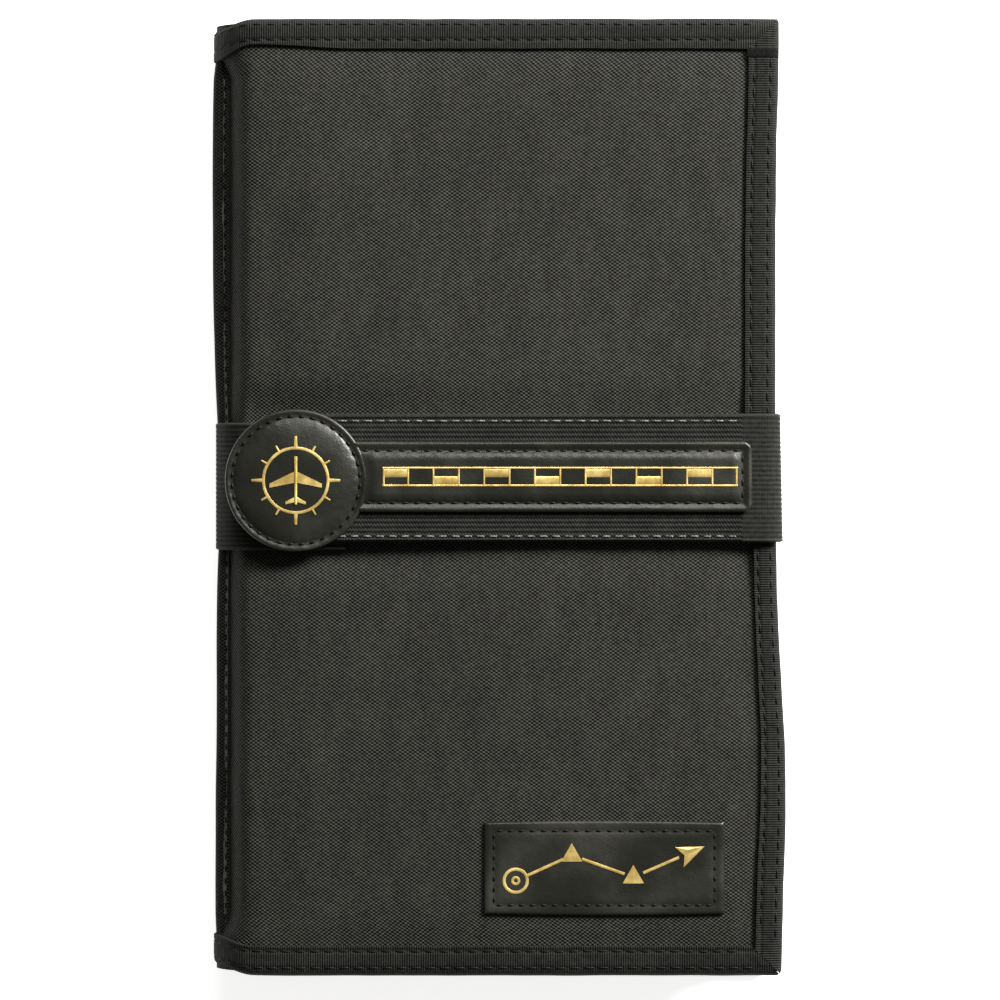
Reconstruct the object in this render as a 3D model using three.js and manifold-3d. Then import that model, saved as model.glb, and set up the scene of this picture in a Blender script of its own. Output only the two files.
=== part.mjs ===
// Bi-fold flight chart organizer: two padded covers and a spine in black nylon,
// five clear chart sleeves on a bar inside the spine, and an elastic closing strap
// with a round badge and a long tag. Millimetres, +Z up. The case lies closed on its
// back cover: the spine is at -X, the fore-edge at +X and the top of the cover at +Y.

import * as THREE from 'three';
import { mergeVertices } from 'three/addons/utils/BufferGeometryUtils.js';
import Module from 'manifold-3d';

const wasm = await Module();
wasm.setup();

// ---------- driving dimensions ----------

const CASE_HEIGHT = 265;              // along Y, over the bindings
const SPINE_X = -77.2;                // outer face of the spine's nylon
const FORE_X = 77.0;                  // outer face of the fore-edge bindings
const CASE_DEPTH = 21.7;              // closed, over both covers' bindings

const TAPE = 0.8;                     // binding tape
const TAPE_WIDTH = 8.5;               // binding tape on each face
const COVER_DEPTH = 5.1;              // one cover over its binding
const SKIN = 0.6;                     // nylon
const FOAM = 1.0;
const BOARD = 1.5;
const LINING = 0.4;
const POCKET = 0.5;                   // inner pocket panel
const POCKET_SPINE_X = -62;           // its edge by the spine
const POCKET_MOUTH_Y = 62;            // its open edge
const SEAM = 0.1;                     // clearance between layers sewn together
const COVER_START_X = -73.9;          // where a cover's layers begin, past the spine

const SPINE_BOARD = 1.2;
const BAR = 2.4;                      // bar that the sleeves hang from

const SLEEVES = 5;
const SLEEVE_FIRST_Z = 5.5;
const SLEEVE_PITCH = 2.2;
const SLEEVE_SHEET = 0.4;
const SLEEVE_WELD = 1.0;
const SLEEVE_START_X = -72.3;         // hinge strip's edge
const SLEEVE_BODY_X = -60;            // where the pocket begins
const SLEEVE_END_X = 70;
const SLEEVE_HALF_HEIGHT = 123;
const WELD_WIDTH = 4;

const ELASTIC_WIDTH = 35;
const ELASTIC = 0.75;                 // sewn elastic
const ARM = 1.0;                      // doubled elastic of the closing arm
const LEFT_STRAP_Y = 3.1;             // middle of the strap at the spine
const RIGHT_STRAP_Y = 5.3;            // middle of the strap at the fore-edge
const FRONT_END_X = -42;              // front strap end, under the badge
const ARM_END_X = -58;                // the arm ends under the badge, which hides it
const WRAP = 0.9;                     // elastic round the fore-edge
const HOOK_LOOP = 0.4;
const HOOK_LOOP_WIDTH = 27;
const LOOP_X = [-66.5, -44];
const HOOK_X = [-57.5, -44];
const FACING = 0.4;
const FACING_X = [-46, 67.5];
const FACING_WIDTH = 33;

const DISC_CENTRE = [-55.5, 4.6];
const DISC_RADIUS = 19.6;
const DISC_BASE = 1.0;
const DISC_PAD_RADIUS = 17.2;
const DISC_PAD = 1.6;
const DISC_PAD_TOP_RADIUS = 13.2;
const DIAL_RADIUS = 8.9;              // ring of the heading dial on the badge
const DIAL_TICK = 11.2;               // how far its ticks reach, each third one further
const DIAL_MAJOR_TICK = 12.2;

const TAG_X = [-50, 70];
const TAG_Y = 5.6;
const TAG_WIDTH = 19.3;
const TAG_CORNER = 2.5;
const TAG_BASE = 0.7;
const TAG_PAD = 0.8;
const TAG_STITCH_INSET = 2.4;
const SCALE_X = [-31.6, 66.1];        // chart scale bar on the tag
const SCALE_Y = [2.9, 8.3];
const SCALE_DIVISIONS = 14;
const SCALE_RAIL = 0.6;

const PATCH_CENTRE = [29.5, -102.4];
const PATCH_SIZE = [66, 25.6];
const PATCH = 0.8;
const PATCH_CORNER = 1;
const ROUTE_LINE = 1.1;               // flight route on the patch
const WAYPOINT_RADIUS = 3.6;

const METAL = 0.3;                    // raised gilt on the badge, tag and patch
const CUT_GAP = 0.3;                  // clearance where one piece is cut round another

// ---------- derived places ----------

const TOP_Y = CASE_HEIGHT / 2;
const INSIDE_Y = TOP_Y - TAPE - SEAM;
const FRAME_Y = TOP_Y - TAPE_WIDTH;
const FRAME_X = FORE_X - TAPE_WIDTH;
const SKIN_Z = CASE_DEPTH - TAPE;     // outer face of the front cover's nylon
const ARM_Z = SKIN_Z + ELASTIC + 2 * HOOK_LOOP + 5 * SEAM / 2 + SEAM;
const FACING_Z = ARM_Z + ARM + SEAM / 2;
const TRIM_Z = FACING_Z + FACING + SEAM / 2;

// ---------- materials ----------

function cloth(color, roughness = 0.9) {
  return new THREE.MeshStandardMaterial({ color, roughness, metalness: 0 });
}

const nylon = () => cloth(0x3c3b37);
const tape = () => cloth(0x2f302b, 0.8);
const elastic = () => cloth(0x32332e, 0.85);
const foam = () => cloth(0x55565a);
const board = () => cloth(0x6b6a66, 0.7);
const lining = () => cloth(0x2a2b2c, 0.7);
const leather = () => cloth(0x2d2d2c, 0.45);
const hookAndLoop = () => cloth(0x1c1c1c, 1);
const vinyl = () => new THREE.MeshStandardMaterial({
  color: 0xdfe6e8, roughness: 0.15, metalness: 0, transparent: true, opacity: 0.35,
});
const weld = () => cloth(0x232425, 0.5);
const gilt = () => new THREE.MeshStandardMaterial({
  color: 0xc8a546, roughness: 0.3, metalness: 1,
});

// ---------- geometry helpers ----------

const model = new THREE.Group();

function addPiece(name, geometry, material) {
  const mesh = new THREE.Mesh(geometry, material);
  mesh.name = name;
  model.add(mesh);
  return mesh;
}

function box([x0, x1], [y0, y1], [z0, z1]) {
  const geometry = new THREE.BoxGeometry(x1 - x0, y1 - y0, z1 - z0);
  geometry.translate((x0 + x1) / 2, (y0 + y1) / 2, (z0 + z1) / 2);
  return geometry;
}

function around(middle, width) {
  return [middle - width / 2, middle + width / 2];
}

function roundedOutline([x0, x1], [y0, y1], radius) {
  const shape = new THREE.Shape();
  shape.absarc(x1 - radius, y1 - radius, radius, 0, Math.PI / 2, false);
  shape.absarc(x0 + radius, y1 - radius, radius, Math.PI / 2, Math.PI, false);
  shape.absarc(x0 + radius, y0 + radius, radius, Math.PI, 1.5 * Math.PI, false);
  shape.absarc(x1 - radius, y0 + radius, radius, 1.5 * Math.PI, 2 * Math.PI, false);
  shape.closePath();
  return shape;
}

function polygon(points) {
  return new THREE.Shape(points.map(([x, y]) => new THREE.Vector2(x, y)));
}

function ring(x, y, outer, inner) {
  const shape = new THREE.Shape();
  shape.absarc(x, y, outer, 0, 2 * Math.PI, false);
  const hole = new THREE.Path();
  hole.absarc(x, y, inner, 0, 2 * Math.PI, true);
  shape.holes.push(hole);
  return shape;
}

// A straight bar of the given width between two points.
function bar([x0, y0], [x1, y1], width) {
  const length = Math.hypot(x1 - x0, y1 - y0);
  const nx = -(y1 - y0) / length * width / 2;
  const ny = (x1 - x0) / length * width / 2;
  return polygon([[x0 + nx, y0 + ny], [x0 - nx, y0 - ny], [x1 - nx, y1 - ny], [x1 + nx, y1 + ny]]);
}

function extrude(shape, [z0, z1], curveSegments = 6) {
  const geometry = new THREE.ExtrudeGeometry(shape, {
    depth: z1 - z0, bevelEnabled: false, curveSegments,
  });
  geometry.translate(0, 0, z0);
  return geometry;
}

function toManifold(geometry) {
  const bare = geometry.clone();
  bare.deleteAttribute('normal');
  bare.deleteAttribute('uv');
  const merged = mergeVertices(bare);
  return new wasm.Manifold(new wasm.Mesh({
    numProp: 3,
    vertProperties: new Float32Array(merged.attributes.position.array),
    triVerts: new Uint32Array(merged.index.array),
  }));
}

function fromManifold(solid) {
  const mesh = solid.getMesh();
  const geometry = new THREE.BufferGeometry();
  geometry.setAttribute('position', new THREE.BufferAttribute(mesh.vertProperties, 3));
  geometry.setIndex(new THREE.BufferAttribute(mesh.triVerts, 1));
  geometry.computeVertexNormals();
  return geometry;
}

function join(geometries) {
  return fromManifold(geometries.map(toManifold).reduce((all, next) => all.add(next)));
}

function cut(geometry, tool) {
  return fromManifold(toManifold(geometry).subtract(toManifold(tool)));
}

// A closed prism whose two ends are the same outline, each point placed in space by
// its own function, so that an end can be square or mitred.
function prism(outline, placeStart, placeEnd) {
  const count = outline.length;
  const points = [...outline.map(placeStart), ...outline.map(placeEnd)];
  const cap = THREE.ShapeUtils.triangulateShape(outline.map(([u, v]) => new THREE.Vector2(u, v)), []);
  const faces = [];
  for (const [a, b, c] of cap) {
    faces.push([c, b, a], [a + count, b + count, c + count]);
  }
  for (let i = 0; i < count; i += 1) {
    const next = (i + 1) % count;
    faces.push([i, next, next + count], [i, next + count, i + count]);
  }
  const volume = faces.reduce((sum, [a, b, c]) => sum + new THREE.Vector3(...points[a])
    .dot(new THREE.Vector3(...points[b]).cross(new THREE.Vector3(...points[c]))), 0);
  const outward = volume > 0 ? faces : faces.map(([a, b, c]) => [a, c, b]);
  const geometry = new THREE.BufferGeometry();
  geometry.setAttribute('position', new THREE.Float32BufferAttribute(points.flat(), 3));
  geometry.setIndex(outward.flat());
  geometry.computeVertexNormals();
  return geometry;
}

// Section of a binding tape folded over an edge: first how far in from the edge,
// then the height across the folded tape.
function foldedTape(depth) {
  return [
    [0, 0], [TAPE_WIDTH, 0], [TAPE_WIDTH, TAPE], [TAPE, TAPE],
    [TAPE, depth - TAPE], [TAPE_WIDTH, depth - TAPE], [TAPE_WIDTH, depth], [0, depth],
  ];
}

// ---------- covers ----------

// Heights measured from a cover's outer face, for the back cover or mirrored for the front.
function layer(side, low, high) {
  return side === 'back' ? [low, high] : [CASE_DEPTH - high, CASE_DEPTH - low];
}

function addCoverLayers(side) {
  const across = [COVER_START_X, FORE_X - TAPE - SEAM];
  const along = [-INSIDE_Y, INSIDE_Y];
  const stack = [
    ['skin', SKIN, nylon],
    ['foam', FOAM, foam],
    ['board', BOARD, board],
    ['lining', LINING, lining],
  ];
  let depth = TAPE;
  for (const [name, thickness, material] of stack) {
    const heights = layer(side, depth + SEAM / 2, depth + thickness - SEAM / 2);
    addPiece(`${side}_${name}`, box(across, along, heights), material());
    depth += thickness;
  }
  const pocketX = [POCKET_SPINE_X, FRAME_X - SEAM];
  const pocketY = [-FRAME_Y + SEAM, POCKET_MOUTH_Y];
  const heights = layer(side, depth + SEAM / 2, depth + SEAM / 2 + POCKET);
  addPiece(`${side}_pocket`, box(pocketX, pocketY, heights), lining());
}

function addCoverBindings(side) {
  const section = foldedTape(COVER_DEPTH);
  const height = (v) => (side === 'back' ? v : CASE_DEPTH - v);
  const mitre = SEAM;
  for (const [end, sign] of [['top', 1], ['bottom', -1]]) {
    const start = ([u, v]) => [COVER_START_X, sign * (TOP_Y - u), height(v)];
    const finish = ([u, v]) => [FORE_X - mitre - u, sign * (TOP_Y - u), height(v)];
    addPiece(`${side}_binding_${end}`, prism(section, start, finish), tape());
  }
  const low = ([u, v]) => [FORE_X - u, -TOP_Y + mitre + u, height(v)];
  const high = ([u, v]) => [FORE_X - u, TOP_Y - mitre - u, height(v)];
  addPiece(`${side}_binding_fore`, prism(section, low, high), tape());
}

// ---------- spine ----------

function addSpine() {
  const along = [-INSIDE_Y, INSIDE_Y];
  const upright = [TAPE + SEAM, SKIN_Z - SEAM];
  const boardX = SPINE_X + SKIN;
  const liningX = boardX + SPINE_BOARD;
  const barX = liningX + LINING;
  addPiece('spine_skin', box([SPINE_X, boardX - SEAM / 2], along, upright), nylon());
  addPiece('spine_board', box([boardX, liningX - SEAM / 2], along, upright), board());
  addPiece('spine_lining', box([liningX, barX - SEAM / 2], along, upright), lining());

  const section = foldedTape(barX - SPINE_X + 2 * TAPE);
  for (const [end, sign] of [['top', 1], ['bottom', -1]]) {
    const place = (z) => ([u, v]) => [SPINE_X - TAPE + v, sign * (TOP_Y - u), z];
    addPiece(`spine_binding_${end}`, prism(section, place(upright[0]), place(upright[1])), tape());
  }

  const barHeights = [SLEEVE_FIRST_Z, CASE_DEPTH - SLEEVE_FIRST_Z];
  const barAlong = [-SLEEVE_HALF_HEIGHT, SLEEVE_HALF_HEIGHT];
  addPiece('sleeve_bar', box([barX, barX + BAR], barAlong, barHeights), tape());
}

// ---------- chart sleeves ----------

// The three sides of the pocket that are welded; the fourth, at +Y, is its mouth.
function weldOutline() {
  const [x0, x1] = [SLEEVE_BODY_X, SLEEVE_END_X];
  const y0 = -SLEEVE_HALF_HEIGHT;
  const y1 = SLEEVE_HALF_HEIGHT;
  return polygon([
    [x0, y0], [x1, y0], [x1, y1], [x1 - WELD_WIDTH, y1], [x1 - WELD_WIDTH, y0 + WELD_WIDTH],
    [x0 + WELD_WIDTH, y0 + WELD_WIDTH], [x0 + WELD_WIDTH, y1], [x0, y1],
  ]);
}

function addSleeve(number) {
  const along = [-SLEEVE_HALF_HEIGHT, SLEEVE_HALF_HEIGHT];
  const z = SLEEVE_FIRST_Z + (number - 1) * SLEEVE_PITCH;
  const weldZ = z + SLEEVE_SHEET;
  const windowZ = weldZ + SLEEVE_WELD;
  const back = box([SLEEVE_START_X, SLEEVE_END_X], along, [z, weldZ - SEAM / 2]);
  const window = box([SLEEVE_BODY_X, SLEEVE_END_X], along, [windowZ, windowZ + SLEEVE_SHEET]);
  addPiece(`sleeve_${number}_back`, back, vinyl());
  addPiece(`sleeve_${number}_weld`, extrude(weldOutline(), [weldZ, windowZ - SEAM / 2]), weld());
  addPiece(`sleeve_${number}_window`, window, vinyl());
}

// ---------- strap ----------

// The elastic sewn round the case: across the back, up the spine and onto the front.
function addSewnStrap() {
  const leftY = around(LEFT_STRAP_Y, ELASTIC_WIDTH);
  const rightY = around(RIGHT_STRAP_Y, ELASTIC_WIDTH);
  const x0 = SPINE_X + 2 * SEAM;
  const x1 = FRAME_X - SEAM;
  const band = polygon([[x0, leftY[0]], [x1, rightY[0]], [x1, rightY[1]], [x0, leftY[1]]]);
  addPiece('strap_back_band', extrude(band, [0, ELASTIC]), elastic());

  const spineX = [SPINE_X - TAPE, SPINE_X - TAPE + ELASTIC];
  addPiece('strap_spine_band', box(spineX, leftY, [TAPE + 2 * SEAM, SKIN_Z - 2 * SEAM]), elastic());

  const frontZ = SKIN_Z + SEAM / 2;
  const loopZ = frontZ + ELASTIC + SEAM / 2;
  addPiece('strap_front_end', box([x0, FRONT_END_X], leftY, [frontZ, frontZ + ELASTIC]), elastic());
  const loopY = around(LEFT_STRAP_Y, HOOK_LOOP_WIDTH);
  addPiece('strap_loop_tape', box(LOOP_X, loopY, [loopZ, loopZ + HOOK_LOOP]), hookAndLoop());
}

// The arm that wraps the fore-edge and closes on the front strap end.
function addClosingArm() {
  const across = around(RIGHT_STRAP_Y, ELASTIC_WIDTH + 0.5);
  const wrapX = [FORE_X + SEAM, FORE_X + SEAM + WRAP];
  addPiece('strap_wrap', box(wrapX, across, [TAPE + SEAM, ARM_Z - SEAM]), elastic());
  addPiece('strap_arm', box([ARM_END_X, FORE_X], across, [ARM_Z, ARM_Z + ARM]), elastic());

  const hookY = around(RIGHT_STRAP_Y, HOOK_LOOP_WIDTH);
  const hookZ = [ARM_Z - SEAM / 2 - HOOK_LOOP, ARM_Z - SEAM / 2];
  addPiece('strap_hook_tape', box(HOOK_X, hookY, hookZ), hookAndLoop());

  const facingY = around(RIGHT_STRAP_Y, FACING_WIDTH);
  addPiece('strap_facing', box(FACING_X, facingY, [FACING_Z, FACING_Z + FACING]), elastic());
}

// ---------- badge, tag and patch ----------

function discAt(radius, [z0, z1]) {
  const disc = new THREE.CylinderGeometry(radius, radius, z1 - z0, 48);
  disc.rotateX(Math.PI / 2);
  disc.translate(...DISC_CENTRE, (z0 + z1) / 2);
  return disc;
}

// A heading dial: a ring with a tick every 30 degrees and a plain aircraft across it.
function dialShapes() {
  const [x, y] = DISC_CENTRE;
  const shapes = [ring(x, y, DIAL_RADIUS + 0.5, DIAL_RADIUS - 0.5)];
  for (let i = 0; i < 12; i += 1) {
    const angle = i * Math.PI / 6;
    const major = i % 3 === 0;
    const at = (r) => [x + r * Math.cos(angle), y + r * Math.sin(angle)];
    shapes.push(bar(at(DIAL_RADIUS), at(major ? DIAL_MAJOR_TICK : DIAL_TICK), major ? 1.3 : 0.8));
  }
  shapes.push(
    bar([x, y - DIAL_RADIUS], [x, y + DIAL_RADIUS], 1.5),
    polygon([[x - DIAL_RADIUS, y - 1.4], [x + DIAL_RADIUS, y - 1.4], [x, y + 2.6]]),
    polygon([[x - 3.2, y - 7.6], [x + 3.2, y - 7.6], [x, y - 4.6]]),
  );
  return shapes;
}

function addDisc() {
  const padZ = TRIM_Z + DISC_BASE + SEAM / 2;
  const padTop = padZ + DISC_PAD;
  addPiece('disc_base', discAt(DISC_RADIUS, [TRIM_Z, TRIM_Z + DISC_BASE]), leather());
  const profile = [
    [0, padZ], [DISC_PAD_RADIUS, padZ], [DISC_PAD_RADIUS, padZ + 0.4],
    [DISC_PAD_TOP_RADIUS, padTop], [0, padTop],
  ].map(([r, z]) => new THREE.Vector2(r, z));
  const pad = new THREE.LatheGeometry(profile, 48);
  pad.rotateX(Math.PI / 2);
  pad.translate(...DISC_CENTRE, 0);
  addPiece('disc_pad', pad, leather());
  const giltZ = [padTop + SEAM / 2, padTop + SEAM / 2 + METAL];
  const dial = dialShapes().map((shape) => extrude(shape, giltZ, 48));
  addPiece('disc_emblem', join(dial), gilt());
}

function rectangle([x0, x1], [y0, y1]) {
  return polygon([[x0, y0], [x1, y0], [x1, y1], [x0, y1]]);
}

// A chart scale bar: a frame with a rung at each division. Every other division has its
// upper or its lower half filled, in turn. Rungs and fillings end inside the frame's rails.
function scaleBarShapes() {
  const [x0, x1] = SCALE_X;
  const [y0, y1] = SCALE_Y;
  const half = SCALE_RAIL / 2;
  const frame = rectangle(SCALE_X, SCALE_Y);
  frame.holes.push(rectangle([x0 + SCALE_RAIL, x1 - SCALE_RAIL], [y0 + SCALE_RAIL, y1 - SCALE_RAIL]));
  const shapes = [frame];
  const step = (x1 - x0) / SCALE_DIVISIONS;
  for (let i = 1; i < SCALE_DIVISIONS; i += 1) {
    const x = x0 + i * step;
    shapes.push(rectangle([x - half, x + half], [y0 + half, y1 - half]));
  }
  const middle = (y0 + y1) / 2;
  for (let i = 0; i < SCALE_DIVISIONS; i += 2) {
    const left = x0 + i * step + half / 2;
    const height = i % 4 === 0 ? [middle, y1 - half] : [y0 + half, middle];
    shapes.push(rectangle([left, left + step - half], height));
  }
  return shapes;
}

function addTag() {
  const padZ = TRIM_Z + TAG_BASE + SEAM / 2;
  const giltZ = padZ + TAG_PAD + SEAM / 2;
  const clearOfDisc = discAt(DISC_RADIUS + CUT_GAP, [TRIM_Z - 1, giltZ + 1]);
  const baseOutline = roundedOutline(TAG_X, around(TAG_Y, TAG_WIDTH), TAG_CORNER);
  const base = extrude(baseOutline, [TRIM_Z, TRIM_Z + TAG_BASE]);
  addPiece('tag_base', cut(base, clearOfDisc), leather());

  const padX = [TAG_X[0], TAG_X[1] - TAG_STITCH_INSET];
  const padOutline = roundedOutline(padX, around(TAG_Y, TAG_WIDTH - 2 * TAG_STITCH_INSET), 1);
  const pad = extrude(padOutline, [padZ, padZ + TAG_PAD]);
  addPiece('tag_pad', cut(pad, clearOfDisc), leather());

  const bars = scaleBarShapes().map((shape) => extrude(shape, [giltZ, giltZ + METAL]));
  addPiece('tag_emblem', join(bars), gilt());
}

// A flight route: a ringed start, a line over two waypoint triangles, and an arrow head.
function routeShapes() {
  const [x, y] = PATCH_CENTRE;
  const start = [x - 24.5, y - 3.5];
  const first = [x - 9, y + 3.5];
  const second = [x + 8, y - 2.5];
  const tip = [x + 23, y + 4];
  const triangle = ([cx, cy], r) => polygon([0, 1, 2].map((i) => {
    const angle = Math.PI / 2 + i * 2 * Math.PI / 3;
    return [cx + r * Math.cos(angle), cy + r * Math.sin(angle)];
  }));
  const heading = Math.atan2(tip[1] - second[1], tip[0] - second[0]);
  const arrow = [[5, 0], [-2.5, 3], [-2.5, -3]].map(([u, v]) => [
    tip[0] + u * Math.cos(heading) - v * Math.sin(heading),
    tip[1] + u * Math.sin(heading) + v * Math.cos(heading),
  ]);
  return [
    ring(...start, 3.8, 2.6),
    ring(...start, 1.3, 0.4),
    bar([start[0], start[1] - 3.2], [start[0], start[1] + 3.2], 0.8),
    bar(start, first, ROUTE_LINE),
    triangle(first, WAYPOINT_RADIUS),
    bar(first, second, ROUTE_LINE),
    triangle(second, WAYPOINT_RADIUS),
    bar(second, tip, ROUTE_LINE),
    polygon(arrow),
  ];
}

function addPatch() {
  const patchZ = SKIN_Z + SEAM / 2;
  const outline = roundedOutline(
    around(PATCH_CENTRE[0], PATCH_SIZE[0]),
    around(PATCH_CENTRE[1], PATCH_SIZE[1]),
    PATCH_CORNER,
  );
  addPiece('name_patch', extrude(outline, [patchZ, patchZ + PATCH]), leather());
  const giltZ = patchZ + PATCH + SEAM / 2;
  const route = routeShapes().map((shape) => extrude(shape, [giltZ, giltZ + METAL], 24));
  addPiece('patch_emblem', join(route), gilt());
}

// ---------- assembly ----------

for (const side of ['back', 'front']) {
  addCoverLayers(side);
  addCoverBindings(side);
}
addSpine();
for (let number = 1; number <= SLEEVES; number += 1) {
  addSleeve(number);
}
addSewnStrap();
addClosingArm();
addDisc();
addTag();
addPatch();

export default model;
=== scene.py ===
"""Looks of the flight chart organizer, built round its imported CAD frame.

Lengths in this script are millimetres; make_mesh() turns them into metres. Every place is
worked out from the boxes of the CAD nodes.
"""

import math

import bmesh
import bpy
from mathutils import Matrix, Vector, noise


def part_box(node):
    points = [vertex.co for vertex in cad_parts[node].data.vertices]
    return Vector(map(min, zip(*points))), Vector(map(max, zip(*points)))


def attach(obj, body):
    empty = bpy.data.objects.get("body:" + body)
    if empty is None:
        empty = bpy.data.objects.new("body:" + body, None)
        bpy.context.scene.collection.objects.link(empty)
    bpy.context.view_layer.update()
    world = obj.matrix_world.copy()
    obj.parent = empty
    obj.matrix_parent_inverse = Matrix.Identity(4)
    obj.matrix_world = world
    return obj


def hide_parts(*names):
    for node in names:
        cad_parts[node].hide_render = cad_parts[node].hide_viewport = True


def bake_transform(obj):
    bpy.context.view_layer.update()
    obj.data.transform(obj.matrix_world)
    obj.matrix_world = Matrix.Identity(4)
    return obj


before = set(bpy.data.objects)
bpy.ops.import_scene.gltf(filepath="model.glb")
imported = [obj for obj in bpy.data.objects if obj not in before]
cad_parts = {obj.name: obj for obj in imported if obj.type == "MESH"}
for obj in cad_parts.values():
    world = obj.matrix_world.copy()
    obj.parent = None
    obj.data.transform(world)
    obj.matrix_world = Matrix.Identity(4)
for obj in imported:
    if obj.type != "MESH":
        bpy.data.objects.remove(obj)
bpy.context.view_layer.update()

MM = 0.001


def cad_box(node):
    """Lowest and highest corner of a CAD node, in millimetres."""
    low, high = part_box(node)
    return low / MM, high / MM


# ---------- places taken from the frame ----------

FRONT_SKIN = cad_box("front_skin")
FRONT_TAPE = cad_box("front_binding_top")
FORE_TAPE = cad_box("front_binding_fore")
SPINE_SKIN = cad_box("spine_skin")
FRONT_LINING = cad_box("front_lining")
LEFT_BAND = cad_box("strap_front_end")
ARM = cad_box("strap_arm")
WRAP = cad_box("strap_wrap")
FACING = cad_box("strap_facing")
DISC = cad_box("disc_base")
DISC_PAD = cad_box("disc_pad")
TAG = cad_box("tag_base")
TAG_PAD = cad_box("tag_pad")
SCALE_BAR = cad_box("tag_emblem")
PATCH = cad_box("name_patch")
BAR = cad_box("sleeve_bar")

DEPTH = FRONT_TAPE[1].z                  # closed case, over the bindings
MIDDLE = DEPTH / 2
TOP_Y = FRONT_TAPE[1].y                  # outer edge of the top binding
FORE_X = FORE_TAPE[1].x                  # outer edge of the fore-edge binding
TAPE = DEPTH - FRONT_SKIN[1].z - 0.05    # binding thickness
SKIN_Z = DEPTH - TAPE                    # outer face of the front nylon
LINING_Z = FRONT_LINING[0].z - 0.05      # inner face of the front lining
SPINE_X = SPINE_SKIN[0].x
TAPE_WIDTH = TOP_Y - FRONT_TAPE[0].y

# ---------- sizes of what only the looks have ----------

SPINE_BULGE = 1.7                        # how far the nylon swells past the spine's board
COVER_PUFF = 0.9                         # how far the padded cover swells above the tape's edge
TAPE_BITE = 0.3                          # how far the binding's inner edge presses the nylon in
PUFF_REACH = 13                          # from the binding to where the cover is fully swollen
BOW_FROM = 5                             # x from which the cover follows its fore-edge's bow
STRAP_DIP = 0.9                          # how far the strap presses the cover in
STRAP_PINCH = 1.3                        # how far it pulls the spine's nylon in
TAPE_PUCKER = 0.03                       # each stitch draws the binding in a little
NYLON = 0.5
LINING = 0.35
RIB_PITCH = 0.65                         # ribs of the binding tape
ELASTIC_RIB = 1.31                       # ribs of the elastic
SELVEDGE = 17.4                          # the elastic's edge, from its middle
TAPE_ROWS = {"top": (1.8, 6.0), "bottom": (2.4, 7.0), "fore": (2.3, 6.7)}
MITRE_GAP = 0.17                         # between the two tapes that meet in a corner
MITRE_SLOPE = 0.97                       # how far a tape's end steps back over its width
WEB_EDGE = 0.55                          # the elastic's edge is rounded over this width
WEB_COLUMNS = 163                        # points across the elastic
WEAVE_U = 0.70                           # nylon thread pitch across
WEAVE_V = 0.498                          # and along

# Pitch of the stitches, length of each one and radius of its thread, in each kind of seam.
TAPE_SEAM = (4.0, 3.3, 0.24)
SPINE_SEAM = (3.4, 2.3, 0.2)
FACING_SEAM = (3.5, 2.6, 0.2)
POCKET_SEAM = (3.2, 2.2, 0.16)
BADGE_SEAM = (3.1, 1.9, 0.3)
TAG_SEAM = (3.4, 2.1, 0.28)
PATCH_SEAM = (3.1, 1.9, 0.25)


# ---------- small helpers ----------

def ease(t):
    """0 to 1 with flat ends."""
    t = min(max(t, 0.0), 1.0)
    return t * t * (3 - 2 * t)


def hump(t, centre, width):
    return math.exp(-((t - centre) / width) ** 2)


def mix(a, b, t):
    return a + (b - a) * t


def spread(low, high, count):
    return [mix(low, high, i / (count - 1)) for i in range(count)]


def wobble(x, y, scale, seed=0.0):
    """Smooth noise between about -1 and 1."""
    return noise.noise(Vector((x / scale, y / scale, seed)))


def smooth_curve(points, count):
    """Catmull-Rom curve through a short list of points, sampled evenly along its parameter."""
    points = [Vector(p) for p in points]
    ends = [points[0] * 2 - points[1], *points, points[-1] * 2 - points[-2]]
    samples = []
    for k in range(count):
        t = k / (count - 1) * (len(points) - 1)
        i = min(int(t), len(points) - 2)
        t -= i
        a, b, c, d = ends[i:i + 4]
        samples.append((b * 2 + (c - a) * t + (a * 2 - b * 5 + c * 4 - d) * t * t
                        + (b * 3 - a - c * 3 + d) * t ** 3) / 2)
    return samples


def along_line(line):
    """Each point of a line of (x, z) points, with its normal and the length run so far."""
    run = 0.0
    for k, p in enumerate(line):
        before = line[max(k - 1, 0)]
        after = line[min(k + 1, len(line) - 1)]
        run += (p - before).length
        along = (after - before).normalized()
        yield p, Vector((-along.y, along.x)), run


def between(a, b, t):
    """The place at a share of the way from one (x, y) place to another."""
    return mix(a[0], b[0], t), mix(a[1], b[1], t)


def round_point(centre, radius, angle):
    """The (x, y) place at a radius and angle round a centre."""
    return centre[0] + radius * math.cos(angle), centre[1] + radius * math.sin(angle)


def turns(count):
    """Evenly spaced angles of one full turn."""
    return [2 * math.pi * i / count for i in range(count)]


def make_mesh(name, points, faces, material, cloth=None, angle=50):
    """A mesh object from points in millimetres; cloth is each point's place on its own fabric."""
    mesh = bpy.data.meshes.new(name)
    mesh.from_pydata([Vector(p) * MM for p in points], [], faces)
    if cloth is not None:
        attribute = mesh.attributes.new("cloth", "FLOAT_VECTOR", "POINT")
        attribute.data.foreach_set("vector", [c for place in cloth for c in (place[0], place[1], 0.0)])
    work = bmesh.new()
    work.from_mesh(mesh)
    bmesh.ops.recalc_face_normals(work, faces=work.faces)
    work.to_mesh(mesh)
    work.free()
    mesh.materials.append(material)
    mesh.shade_smooth()
    mesh.set_sharp_from_angle(angle=math.radians(angle))
    piece = bpy.data.objects.new(name, mesh)
    bpy.context.scene.collection.objects.link(piece)
    return piece


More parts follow.
